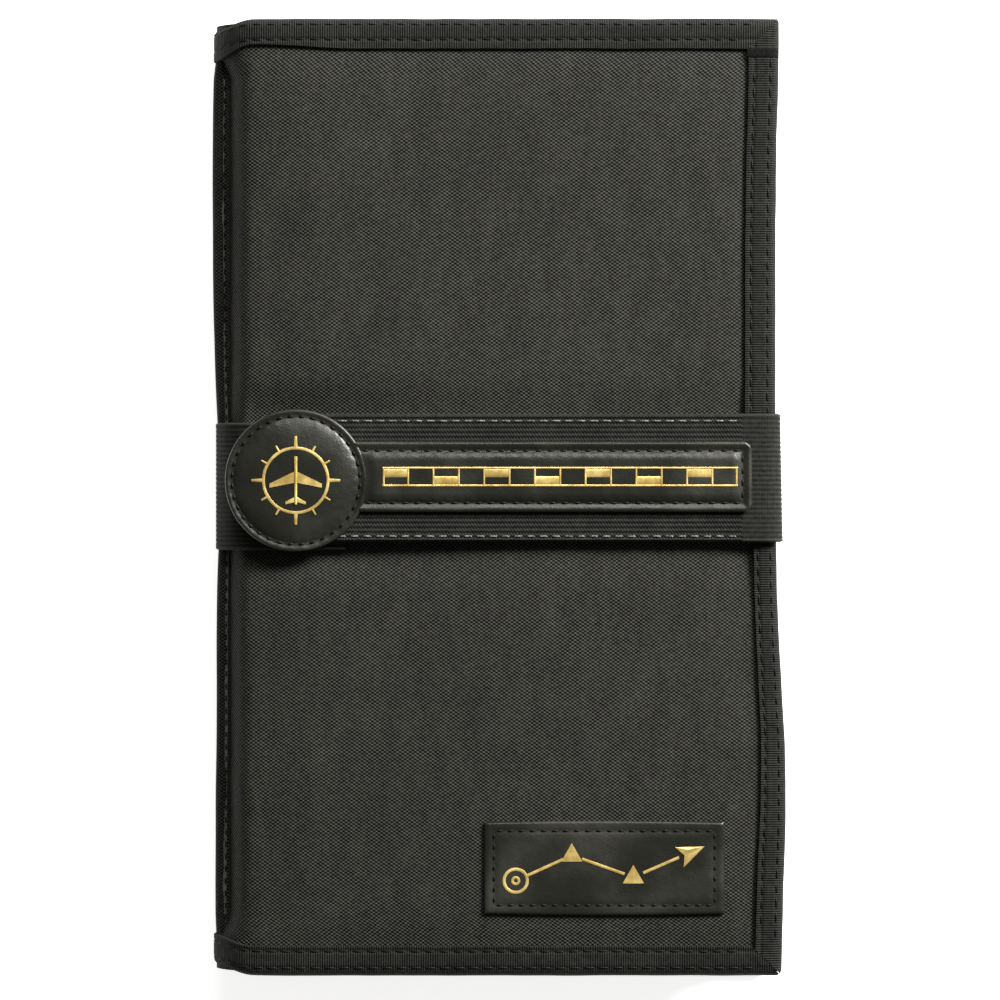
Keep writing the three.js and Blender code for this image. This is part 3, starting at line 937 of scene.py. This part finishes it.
def walk(points, normals):
    """Running length, and a function that gives the place and normal at a length."""
    lengths = [0.0]
    for a, b in zip(points, points[1:]):
        lengths.append(lengths[-1] + (b - a).length)

    def at(length):
        length = min(max(length, 0.0), lengths[-1])
        k = 0
        while k < len(lengths) - 2 and lengths[k + 1] < length:
            k += 1
        step = lengths[k + 1] - lengths[k]
        t = (length - lengths[k]) / step if step > 0 else 0.0
        return points[k].lerp(points[k + 1], t), normals[k].lerp(normals[k + 1], t).normalized()

    return lengths[-1], at


def stitches(name, lines, seam, material):
    """Rows of single stitches along lines of points with their normals."""
    pitch, length, radius = seam
    parts = []
    for points, normals in lines:
        total, at = walk(points, normals)
        count = max(1, round(total / pitch))
        spacing = total / count
        for i in range(count):
            start = (i + 0.5) * spacing - length / 2
            samples = [at(start + length * k / 6) for k in range(7)]
            parts.append(one_stitch([s[0] for s in samples], samples[3][1], radius))
    return join_parts(name, parts, material, 60)


def upright(points):
    """A line on a piece that lies flat: its points, each with the same normal."""
    return points, [Vector((0, 0, 1))] * len(points)


def build_spine_stitches(half, kit):
    """Topstitching along the edge of the spine."""
    on_roll = 10
    half_y = TOP_Y - 10.5
    points = []
    normals = []
    for y in spread(-half_y, half_y, 90):
        p, normal, _ = list(along_line(roll_line(y)))[on_roll]
        p = p - normal * 0.02
        points.append(half.place((p.x, y, p.y)))
        normals.append(half.turn((normal.x, 0, normal.y)))
    threads = stitches(f"{half.side}_spine_stitches", [(points, normals)], SPINE_SEAM, kit["thread"])
    half.bend(threads)


# ---------- strap ----------

def webbing(name, path, y_low, y_high, thickness, material, rib=0.06, lean=0.0):
    """Ribbed webbing along a path of (x, z) points, which its underside follows.
    y_low and y_high give its two edges at a share of the way along, and lean is how far its
    lower edge stands out past the upper one at the path's end."""
    rows = []
    for k, (p, normal, run) in enumerate(along_line(path)):
        share = k / (len(path) - 1)
        low = y_low(share)
        high = y_high(share)
        row = []
        for t in spread(0.0, 1.0, WEB_COLUMNS):
            y = mix(low, high, t)
            edge = min(t, 1 - t) * (high - low)
            rounding = math.sqrt(max(0.0, 1 - (max(0.0, WEB_EDGE - edge) / WEB_EDGE) ** 2))
            ribs = rib * math.cos(2 * math.pi * (y - low) / ELASTIC_RIB)
            lift = thickness * (0.35 + 0.65 * rounding) + ribs * rounding + 0.12 * hump(edge, 0.5, 0.3)
            out = Vector((lean * (1 - t) * ease(share * 4 - 2.4), 0))
            raised = p + normal * lift + out
            lowered = p + normal * thickness * 0.3 * (1 - rounding) + out
            row.append((Vector((raised.x, y, raised.y)), Vector((lowered.x, y, lowered.y)),
                        (run, y - (low + high) / 2)))
        rows.append(row)
    return slab(name, rows, material, 60)


def mirrored(piece):
    """Turns a piece of the front half over to the back half."""
    for vertex in piece.data.vertices:
        vertex.co.z = DEPTH * MM - vertex.co.z
    piece.data.flip_normals()
    return piece


def build_sewn_strap(front, back, kit):
    """The elastic round the spine: on the front, the spine and right across the back."""
    low, high = LEFT_BAND[0].y, LEFT_BAND[1].y
    gap = 0.25
    taut = [(x + 0.6 * (1 - i / 9), z + gap * i / 9) for i, (x, z) in enumerate(SMOOTH_ROLL)]
    roll = smooth_curve(on_spine(taut) + [(ROLL_END_X, SKIN_Z + gap)], 30)
    path = roll + [Vector((x, SKIN_Z + gap)) for x in spread(ROLL_END_X, LEFT_BAND[1].x, 8)[1:]]
    piece = webbing("strap_left_end", path, lambda t: low - 0.3 * ease(t * 3), lambda t: high,
                    0.72, kit["elastic"])
    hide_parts("strap_front_end", "strap_spine_band")
    front.bend(piece)

    rise = ARM[0].y - low
    flat = DEPTH - 0.8
    path = [Vector((p.x, min(p.y, flat))) for p in roll]
    path += [Vector((x, flat)) for x in spread(ROLL_END_X, WRAP[0].x + 0.45, 14)[1:]]

    def skew(t):
        """The band rises on its way across the back, to meet the arm."""
        return rise * ease((t - 0.3) / 0.7)

    piece = mirrored(webbing("strap_back_band_web", path, lambda t: low + skew(t),
                             lambda t: high + skew(t), 0.7, kit["elastic"]))
    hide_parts("strap_back_band")
    back.bend(piece)


def build_arm(kit):
    """The closing arm: over the front, round the fore-edge and down to the back binding."""
    x_end = WRAP[0].x + 0.25
    top = ARM[0].z
    path = [Vector((x, top)) for x in spread(ARM[0].x, FORE_X - 5, 40)]
    corner = [(FORE_X - 5, top), (FORE_X - 2.2, top - 0.1), (x_end - 0.5, top - 1.0), (x_end, top - 3.4)]
    path += smooth_curve(corner, 16)[1:]
    path += [Vector((x_end, z)) for z in spread(top - 3.4, WRAP[0].z + 0.4, 14)[1:]]

    def narrowed(t):
        """The elastic is drawn in a little where it is stretched round the edge."""
        return 0.35 * ease((t - 0.8) * 5)

    piece = webbing("strap_arm_web", path, lambda t: ARM[0].y + narrowed(t),
                    lambda t: ARM[1].y - narrowed(t), 0.92, kit["elastic"], lean=0.8)
    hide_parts("strap_arm", "strap_wrap")
    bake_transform(piece)


def build_facing(kit):
    """Herringbone facing sewn on the arm, with its two stitch rows."""
    z = ARM[0].z + 0.97
    x0, x1 = FACING[0].x - 4, FACING[1].x
    low, high = ARM[0].y + 0.35, ARM[1].y - 0.35
    path = [Vector((x, z)) for x in spread(x0, x1, 60)]
    piece = webbing("strap_facing_web", path, lambda t: low, lambda t: high, 0.36, kit["facing"], 0.07)
    carry(piece, "strap_flap", "strap_facing")
    lines = [upright([Vector((x, y, z + 0.4)) for x in spread(x0 + 2, x1 - 1, 30)])
             for y in (low + 1.3, high - 1.7)]
    threads = stitches("strap_facing_stitches", lines, FACING_SEAM, kit["light_thread"])
    carry(threads, "strap_flap")


def build_closure(kit):
    """Loop tape on the strap end, with its nap up, and hook tape under the arm, with its nap down."""
    for node, material, body, up in (("strap_loop_tape", "loop", "front_cover", 1),
                                     ("strap_hook_tape", "hook", "strap_flap", 0)):
        low, high = cad_box(node)
        rows = []
        for y in spread(low.y, high.y, 40):
            row = []
            for x in spread(low.x, high.x, 40):
                nap = 0.08 * wobble(x * 3, y * 3, 1.0, 4.0)
                row.append((Vector((x, y, high.z - 0.08 + nap * up)),
                            Vector((x, y, low.z + 0.08 + nap * (1 - up))), (x, y)))
            rows.append(row)
        carry(slab(f"{node}_nap", rows, kit[material]), body, node)


# ---------- badge ----------

DISC_MID = ((DISC[0].x + DISC[1].x) / 2, (DISC[0].y + DISC[1].y) / 2)
DISC_R = (DISC[1].x - DISC[0].x) / 2
DISC_STITCHES = 36
DISC_SEGMENTS = 216
DISC_ROW = DISC_R - 1.95


def disc_height(r, angle):
    """Top of the badge: a padded dome, a stitched groove and a rim that turns up a little."""
    base = DISC[1].z
    crown = DISC_PAD[1].z - base - 0.1
    edge = DISC_ROW - 0.45
    if r < edge:
        pucker = 0.035 * math.cos(DISC_STITCHES * angle) * hump(r, edge - 0.5, 0.8)
        soft = 0.10 * wobble(r * math.cos(angle), r * math.sin(angle), 6, 9.0)
        return base - 0.25 + (crown + 0.25) * (1 - (r / edge) ** 3.4) ** 0.8 + soft * (r / edge) + pucker
    rise = ease((r - DISC_ROW - 0.1) / 1.2) * 0.3
    tuck = 0.05 * math.cos(DISC_STITCHES * angle) * hump(r, DISC_ROW + 0.6, 0.5)
    return base - 0.25 + rise - tuck


def disc_ring(radius, height):
    """One ring of points round the badge, at a height that may change with the angle."""
    return [Vector((*round_point(DISC_MID, radius, a), height(a))) for a in turns(DISC_SEGMENTS)]


def build_disc(kit):
    """The round leather badge: a padded face and a flange, turned over a base."""
    floor = DISC[0].z
    rim_z = disc_height(DISC_R - 0.5, 0.0)
    radii = [*spread(0.8, DISC_ROW - 3.2, 22), *spread(DISC_ROW - 2.9, DISC_R - 0.5, 22)]
    rim = [(DISC_R - 0.2, rim_z - 0.12), (DISC_R, rim_z - 0.45), (DISC_R, floor + 0.3),
           (DISC_R - 0.3, floor)]
    rings = [disc_ring(r, lambda a, r=r: disc_height(r, a)) for r in radii]
    rings += [disc_ring(r, lambda a, z=z: z) for r, z in rim]
    points = [Vector((*DISC_MID, disc_height(0.0, 0.0)))]
    points += [p for ring in rings for p in ring]
    faces = [(0, 1 + i, 1 + (i + 1) % DISC_SEGMENTS) for i in range(DISC_SEGMENTS)]
    faces += [tuple(1 + n for n in face) for face in tube_faces(len(rings), DISC_SEGMENTS)]
    faces.append(tuple(range(len(points) - 1, len(points) - DISC_SEGMENTS - 1, -1)))
    piece = make_mesh("badge_leather", points, faces, kit["leather"],
                      [(p.x, p.y) for p in points], 60)
    carry(piece, "strap_flap", "disc_base", "disc_pad")

    around = [*turns(180), 2 * math.pi]
    line = upright([Vector((*round_point(DISC_MID, DISC_ROW, a), disc_height(DISC_ROW, a) - 0.02))
                    for a in around])
    threads = stitches("badge_stitches", [line], BADGE_SEAM, kit["thread"])
    carry(threads, "strap_flap")


def on_disc(x, y):
    """Top of the badge at a place."""
    dx = x - DISC_MID[0]
    dy = y - DISC_MID[1]
    return disc_height(math.hypot(dx, dy), math.atan2(dy, dx))


# ---------- gilt motifs ----------

GILT_RISE = 0.16
# Section of a gilt strip: share of its width to one side, and share of its rise.
GILT_PROFILE = ((-0.5, -0.12), (-0.42, 0.6), (-0.12, 1.0), (0.12, 1.0), (0.42, 0.6), (0.5, -0.12))


def gilt_strip(line, widths, surface, rise=GILT_RISE):
    """A raised strip along a line of (x, y) points, lying on a surface."""
    points = []
    for k, (x, y) in enumerate(line):
        x0, y0 = line[max(k - 1, 0)]
        x1, y1 = line[min(k + 1, len(line) - 1)]
        length = math.hypot(x1 - x0, y1 - y0)
        side = (-(y1 - y0) / length, (x1 - x0) / length)
        for offset, share in GILT_PROFILE:
            px = x + side[0] * offset * widths[k]
            py = y + side[1] * offset * widths[k]
            points.append(Vector((px, py, surface(px, py) + rise * share)))
    size = len(GILT_PROFILE)
    return points, tube_faces(len(line), size) + end_faces(len(line), size)


def gilt_bar(start, end, width_start, width_end, surface, rise=GILT_RISE, steps=8):
    """A straight raised strip."""
    shares = [k / steps for k in range(steps + 1)]
    line = [between(start, end, t) for t in shares]
    return gilt_strip(line, [mix(width_start, width_end, t) for t in shares], surface, rise)


def gilt_ring(centre, radius, width, surface, segments=72):
    """A raised ring, closed on itself."""
    points = []
    for angle in turns(segments):
        for offset, share in GILT_PROFILE:
            px, py = round_point(centre, radius + offset * width, angle)
            points.append(Vector((px, py, surface(px, py) + GILT_RISE * share)))
    return points, tube_faces(segments, len(GILT_PROFILE), closed=True)


def gilt_facet(corners, surface, rise=0.5):
    """A filled outline raised to a point in the middle, like pressed metal."""
    cx = sum(c[0] for c in corners) / len(corners)
    cy = sum(c[1] for c in corners) / len(corners)
    points = [Vector((x, y, surface(x, y) - 0.03)) for x, y in corners]
    points += [Vector((x, y, surface(x, y) + 0.12)) for x, y in corners]
    points.append(Vector((cx, cy, surface(cx, cy) + rise)))
    points.append(Vector((cx, cy, surface(cx, cy) - 0.03)))
    count = len(corners)
    faces = []
    for i in range(count):
        after = (i + 1) % count
        faces.append((i, after, count + after, count + i))
        faces.append((count + i, count + after, 2 * count))
        faces.append((after, i, 2 * count + 1))
    return points, faces


def build_dial(kit):
    """A heading dial: ring, twelve ticks and a plain aircraft."""
    ring = 8.9
    parts = [gilt_ring(DISC_MID, ring, 0.85, on_disc)]
    for i, angle in enumerate(turns(12)):
        reach, width_start, width_end = (12.2, 1.1, 0.7) if i % 3 == 0 else (10.9, 0.65, 0.5)
        parts.append(gilt_bar(round_point(DISC_MID, ring + 0.2, angle), round_point(DISC_MID, reach, angle),
                              width_start, width_end, on_disc))
    x, y = DISC_MID
    parts.append(gilt_bar((x, y + 6.6), (x, y - 6.6), 1.0, 0.8, on_disc, 0.34, 14))
    for side in (-1, 1):
        wing = [(x, y + 2.6), (x, y - 0.6), (x + side * 7.2, y - 2.0), (x + side * 7.2, y - 0.9)]
        tail = [(x, y - 4.4), (x, y - 5.9), (x + side * 2.8, y - 6.6), (x + side * 2.8, y - 5.9)]
        parts.append(gilt_facet(wing, on_disc, 0.36))
        parts.append(gilt_facet(tail, on_disc, 0.3))
    carry(join_parts("badge_dial", parts, kit["gilt"], 25), "strap_flap", "disc_emblem")


# ---------- tag ----------

TAG_MID_Y = (TAG[0].y + TAG[1].y) / 2
TAG_HALF = (TAG[1].y - TAG[0].y) / 2
TAG_ROW = 2.45


def beside_disc(y):
    """Where the tag comes out from under the badge."""
    return DISC_MID[0] + math.sqrt(max(0.0, (DISC_R - 0.4) ** 2 - (y - DISC_MID[1]) ** 2))


def tag_height(x, y):
    """Top of the tag: flange turned up outside the stitches, padding inside them."""
    base = TAG[1].z + 0.1
    from_side = TAG_HALF - abs(y - TAG_MID_Y)
    from_end = TAG[1].x - x
    inner = min(from_side, from_end)
    lip = 0.42 * ease((TAG_ROW - 0.35 - inner) / 1.5)
    groove_depth = 0.22 * hump(inner, TAG_ROW, 0.45)
    pad_side = ease((from_side - TAG_ROW - 0.1) / 2.6)
    pad_end = ease((from_end - TAG_ROW - 0.1) / 3.0)
    tucked = mix(0.25, 1.0, ease((x - beside_disc(y)) / 3.5))
    pad = (TAG_PAD[1].z - base + 0.05) * (pad_side * pad_end) ** 0.6 * tucked
    pucker = 0.05 * math.cos(2 * math.pi * x / TAG_SEAM[0]) * hump(from_side, TAG_ROW + 0.8, 0.7)
    soft = 0.07 * wobble(x, y, 6, 12.0)
    return base + lip - groove_depth + pad + pucker + soft


def build_tag(kit):
    """The long leather tag, from under the badge to its rounded end."""
    corner = 2.4
    x0 = beside_disc(TAG_MID_Y)
    x1 = TAG[1].x
    fine_from = x1 - 7.0
    edges = [0.0, 0.12, 0.35, *spread(0.7, 5.6, 15)]
    shares = [e / TAG_HALF for e in edges] + spread(6.6 / TAG_HALF, 1.0, 5)
    profile = [s - 1 for s in shares] + [1 - s for s in reversed(shares[:-1])]
    ends = [x1, x1 - 0.1, x1 - 0.3, *spread(x1 - 0.6, x1 - 6.5, 16)]
    rows = []
    for column in spread(x0, fine_from, 240) + list(reversed(ends)):
        from_end = x1 - column
        half_width = TAG_HALF
        if from_end < corner:
            half_width = TAG_HALF - corner + math.sqrt(max(0.0, corner ** 2 - (corner - from_end) ** 2))
        row = []
        for share in profile:
            y = TAG_MID_Y + share * half_width
            x = column + (beside_disc(y) - x0) * max(0.0, (fine_from - column) / (fine_from - x0))
            rim = min(half_width * (1 - abs(share)), from_end)
            drop = 0.45 * (1 - ease(rim / 0.5))
            row.append((Vector((x, y, tag_height(x, y) - drop)),
                        Vector((x, y, TAG[0].z + 0.02 + 0.1 * (rim < 0.2))), (x, y)))
        rows.append(row)
    piece = slab("tag_leather", rows, kit["leather"], 60)
    carry(piece, "strap_flap", "tag_base", "tag_pad")

    low_y = TAG_MID_Y - TAG_HALF + TAG_ROW
    high_y = TAG_MID_Y + TAG_HALF - TAG_ROW
    end_x = x1 - TAG_ROW
    rows = ([(x, low_y) for x in spread(beside_disc(low_y), end_x, 60)],
            [(x, high_y) for x in spread(beside_disc(high_y), end_x, 60)],
            [(end_x, y) for y in spread(low_y + 0.6, high_y - 0.6, 12)])
    lines = [upright([Vector((x, y, tag_height(x, y) + 0.03)) for x, y in row]) for row in rows]
    threads = stitches("tag_stitches", lines, TAG_SEAM, kit["thread"])
    carry(threads, "strap_flap")


def build_scale_bar(kit):
    """A chart scale bar along the tag, with the upper or lower half of every other division filled."""
    low, high = SCALE_BAR
    divisions = 14
    step = (high.x - low.x) / divisions
    rail = 0.55
    parts = []
    for y in (low.y + rail / 2, high.y - rail / 2):
        parts.append(gilt_bar((low.x, y), (high.x, y), rail, rail, tag_height, 0.2, 120))
    for i in range(divisions + 1):
        x = min(max(low.x + i * step, low.x + rail / 2), high.x - rail / 2)
        parts.append(gilt_bar((x, low.y + 0.2), (x, high.y - 0.2), rail, rail, tag_height, 0.21))
    tall = (high.y - low.y) / 2 - rail
    filled = tall + 0.3
    for i in range(0, divisions, 2):
        left = low.x + i * step + rail / 2
        y = high.y - rail - tall / 2 if i % 4 == 0 else low.y + rail + tall / 2
        parts.append(gilt_bar((left, y), (left + step - rail, y), filled, filled, tag_height, 0.17, 12))
    carry(join_parts("tag_scale_bar", parts, kit["gilt"], 30), "strap_flap", "tag_emblem")


# ---------- patch ----------

PATCH_MID = (PATCH[0] + PATCH[1]) / 2
PATCH_HALF_X = (PATCH[1].x - PATCH[0].x) / 2
PATCH_HALF_Y = (PATCH[1].y - PATCH[0].y) / 2
PATCH_ROW = 2.55


def patch_height(x, y):
    """Top of the patch, which follows the swell of the cover."""
    inner = min(PATCH_HALF_X - abs(x - PATCH_MID.x), PATCH_HALF_Y - abs(y - PATCH_MID.y))
    thick = PATCH[1].z - PATCH[0].z
    field = 0.12 * ease((inner - PATCH_ROW) / 2.0)
    groove_depth = 0.16 * hump(inner, PATCH_ROW, 0.4)
    soft = 0.05 * wobble(x, y, 7, 21.0)
    return SKIN_Z + 0.35 + surface_lift(x, y, True) * 0.9 + thick + field - groove_depth + soft


def build_patch(kit):
    """The leather patch with its border of stitches."""
    rows = []
    for v in spread(-1, 1, 56):
        row = []
        for u in spread(-1, 1, 110):
            bowed = 0.45 * (1 - u * u)
            x = PATCH_MID.x + u * PATCH_HALF_X
            y = PATCH_MID.y + v * (PATCH_HALF_Y - 0.25 + bowed)
            rim = min((1 - abs(u)) * PATCH_HALF_X, (1 - abs(v)) * PATCH_HALF_Y)
            top = patch_height(x, y)
            row.append((Vector((x, y, top - 0.3 * (1 - ease(rim / 0.5)))), Vector((x, y, top - 1.3)), (x, y)))
        rows.append(row)
    piece = slab("patch_leather", rows, kit["leather"], 60)
    carry(piece, "front_cover", "name_patch")

    x0, x1 = PATCH[0].x + PATCH_ROW, PATCH[1].x - PATCH_ROW
    y0, y1 = PATCH[0].y + PATCH_ROW, PATCH[1].y - PATCH_ROW
    corners = [(x0, y0), (x1, y0), (x1, y1), (x0, y1)]
    lines = []
    for a, b in zip(corners, corners[1:] + corners[:1]):
        side = [between(a, b, t) for t in spread(0.0, 1.0, 31)]
        lines.append(upright([Vector((x, y, patch_height(x, y))) for x, y in side]))
    threads = stitches("patch_stitches", lines, PATCH_SEAM, kit["thread"])
    carry(threads, "front_cover")


def build_route(kit):
    """A flight route: ringed start, two waypoint triangles and an arrow head."""
    x, y = PATCH_MID.x, PATCH_MID.y
    start = (x - 24.5, y - 3.5)
    first = (x - 9, y + 3.5)
    second = (x + 8, y - 2.5)
    tip = (x + 23, y + 4)
    on = patch_height
    parts = [gilt_ring(start, 3.2, 0.9, on), gilt_ring(start, 0.9, 0.8, on, segments=32)]
    for a, b in ((start, first), (first, second), (second, tip)):
        length = math.dist(a, b)
        leave = (3.6 if a == start else 3.0) / length
        arrive = 1 - 2.6 / length
        parts.append(gilt_bar(between(a, b, leave), between(a, b, arrive), 0.85, 0.85, on, 0.16, 24))
    for waypoint in (first, second):
        corners = [round_point(waypoint, 3.4, math.pi / 2 + turn) for turn in turns(3)]
        parts.append(gilt_facet(corners, on, 0.45))
    heading = math.atan2(tip[1] - second[1], tip[0] - second[0])
    nose, notch = (5, 0), (-1.0, 0)
    for side in ((nose, (-2.5, 3), notch), (nose, notch, (-2.5, -3))):
        corners = [(tip[0] + u * math.cos(heading) - v * math.sin(heading),
                    tip[1] + u * math.sin(heading) + v * math.cos(heading)) for u, v in side]
        parts.append(gilt_facet(corners, on, 0.4))
    carry(join_parts("patch_route", parts, kit["gilt"], 25), "front_cover", "patch_emblem")


# ---------- inside ----------

def build_pocket(half, kit):
    """A slip pocket inside a cover, with a taped mouth."""
    low, high = cad_box(f"{half.side}_pocket")
    face_z, back_z = (low.z, high.z) if half.front else (DEPTH - high.z, DEPTH - low.z)
    rows = []
    for y in spread(low.y, high.y, 70):
        hem = 0.16 * ease((y - high.y + 9) / 0.6)
        row = []
        for x in spread(low.x, high.x, 46):
            bag = 0.12 * wobble(x, y, 26, 14.0) * ease((x - low.x) / 8) * ease((high.x - x) / 8)
            row.append(half.cell(Vector((x, face_z + 0.2 + bag - hem)), Vector((x, back_z)), x, y))
        rows.append(row)
    piece = slab(f"{half.side}_pocket_cloth", rows, kit["lining"])
    carry(piece, half.body, f"{half.side}_pocket")

    across = spread(low.x + 1, high.x - 1, 30)
    up = spread(low.y + 1, high.y - 1, 40)
    lines = [[(x, high.y - 8.2, face_z + 0.06) for x in across],
             [(x, high.y - 1.2, face_z + 0.06) for x in across],
             [(low.x + 1.5, y, face_z + 0.2) for y in up]]
    inward = half.turn((0, 0, -1))
    lines = [([half.place(p) for p in line], [inward] * len(line)) for line in lines]
    threads = stitches(f"{half.side}_pocket_stitches", lines, POCKET_SEAM, kit["thread"])
    carry(threads, half.body)


def build_sleeve(number, kit):
    """A clear chart sleeve: back film with its hinge strip, welded edge and front film."""
    body = f"sleeve_{number}"
    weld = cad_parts[f"{body}_weld"]
    weld.data.materials.clear()
    weld.data.materials.append(kit["weld"])
    for part, wave in (("back", 0.05), ("window", 0.09)):
        low, high = cad_box(f"{body}_{part}")
        seed = number + (part == "window") * 7.0
        rows = []
        for y in spread(low.y, high.y, 50):
            row = []
            for x in spread(low.x, low.x + 14, 18) + spread(low.x + 18, high.x, 30):
                z = high.z + wave * wobble(x, y, 30, seed)
                row.append((Vector((x, y, z - 0.06)), Vector((x, y, z - 0.32)), (x, y)))
            rows.append(row)
        piece = slab(f"{body}_{part}_film", rows, kit["vinyl"])
        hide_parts(f"{body}_{part}")
        if part == "window":
            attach(piece, body)
        else:
            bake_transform(piece)


def squared(value):
    """A sine or cosine pushed out towards the sides of a square."""
    return math.copysign(abs(value) ** 0.35, value)


def build_bar(kit):
    """The tape-covered bar that holds the sleeves."""
    low, high = BAR
    mid_z = (low.z + high.z) / 2
    half_z = (high.z - low.z) / 2 - 2.2
    x0, x1 = low.x + 1.1, high.x + 0.1
    rings = []
    for y in spread(low.y, high.y, 40):
        rings.append([
            (Vector((mix(x0, x1, (squared(math.cos(a)) + 1) / 2), y, mid_z + half_z * squared(math.sin(a)))),
             (y, a * 5)) for a in turns(24)])
    carry(loft("sleeve_bar_tape", rings, kit["tape"], 60), "spine", "sleeve_bar")


def build_spine_board(kit):
    """Stiffener strip in the spine, bent to follow the nylon."""
    rows = []
    for y in spread(-TOP_Y + 4, TOP_Y - 4, 60):
        line = roll_line(y)[:9]
        front = [Vector((p.x + NYLON + 0.25, y, p.y)) for p in line]
        back = [Vector((p.x, y, DEPTH - p.z)) for p in reversed(front[1:])]
        rows.append([(p, p + Vector((0.6, 0, 0)), (p.z, y)) for p in back + front])
    carry(slab("spine_board_sheet", rows, kit["board"]), "spine", "spine_board")


# ---------- stage ----------

PIXEL = 0.2765                           # millimetres a pixel shows at the front cover
CAMERA_HEIGHT = 1080                     # above the front cover
IMAGE = 1000


def build_camera():
    """Straight above, a little off the middle of the case."""
    data = bpy.data.cameras.new("camera")
    camera = bpy.data.objects.new("camera", data)
    bpy.context.scene.collection.objects.link(camera)
    camera.location = Vector((0.7, -0.8, SKIN_Z + CAMERA_HEIGHT)) * MM
    data.sensor_width = 36
    data.lens = 36 * CAMERA_HEIGHT / (IMAGE * PIXEL)
    data.clip_start = 0.01
    data.clip_end = 20
    bpy.context.scene.camera = camera


def area_light(name, place, size, power):
    """A soft box that faces the middle of the case. Its place and size are in metres."""
    data = bpy.data.lights.new(name, "AREA")
    data.shape = "RECTANGLE"
    data.size, data.size_y = size
    data.energy = power
    data.color = (1.0, 0.99, 0.95)
    lamp = bpy.data.objects.new(name, data)
    bpy.context.scene.collection.objects.link(lamp)
    lamp.location = place
    lamp.rotation_euler = (-Vector(place)).to_track_quat("-Z", "Y").to_euler()


def build_floor():
    """A pale floor just under the case, bright enough to be white all over."""
    shader = Shader("studio_floor")
    color = shader.mix(shader.noise(3.0, 2.0), (0.93, 0.93, 0.93), (0.96, 0.96, 0.955))
    shader.finish(color, 0.9, Specular_IOR_Level=0.1, Emission_Color=(1, 1, 1, 1), Emission_Strength=0.8)
    size = 4.0
    corners = [(-size, -size, 0), (size, -size, 0), (size, size, 0), (-size, size, 0)]
    mesh = bpy.data.meshes.new("floor")
    mesh.from_pydata(corners, [], [(0, 1, 2, 3)])
    mesh.materials.append(shader.material)
    floor = bpy.data.objects.new("floor", mesh)
    floor.location.z = -0.0002
    bpy.context.scene.collection.objects.link(floor)


def build_stage():
    """Floor, a dim even world and two soft boxes."""
    build_floor()
    world = bpy.data.worlds.new("studio")
    world.use_nodes = True
    background = world.node_tree.nodes["Background"]
    background.inputs["Color"].default_value = (1.0, 0.99, 0.94, 1.0)
    background.inputs["Strength"].default_value = 0.14
    bpy.context.scene.world = world
    area_light("key", (1.1, 1.0, 0.8), (0.5, 0.5), 92)
    area_light("fill", (0.1, 1.2, 1.1), (0.9, 0.4), 10)
    bpy.context.scene.view_settings.view_transform = "Standard"


def main():
    kit = make_materials()
    build_camera()
    build_stage()
    front = Half("front")
    back = Half("back")
    for half in (front, back):
        build_nylon(half, kit)
        build_lining(half, kit)
        build_core(half, kit)
        for sign in (1, -1):
            build_edge_tape(half, sign, kit)
        build_fore_tape(half, kit)
        build_turned_end(half, kit)
        build_spine_stitches(half, kit)
        build_pocket(half, kit)
    build_sewn_strap(front, back, kit)
    build_arm(kit)
    build_facing(kit)
    build_closure(kit)
    build_disc(kit)
    build_dial(kit)
    build_tag(kit)
    build_scale_bar(kit)
    build_patch(kit)
    build_route(kit)
    for number in range(1, 6):
        build_sleeve(number, kit)
    build_bar(kit)
    build_spine_board(kit)


main()
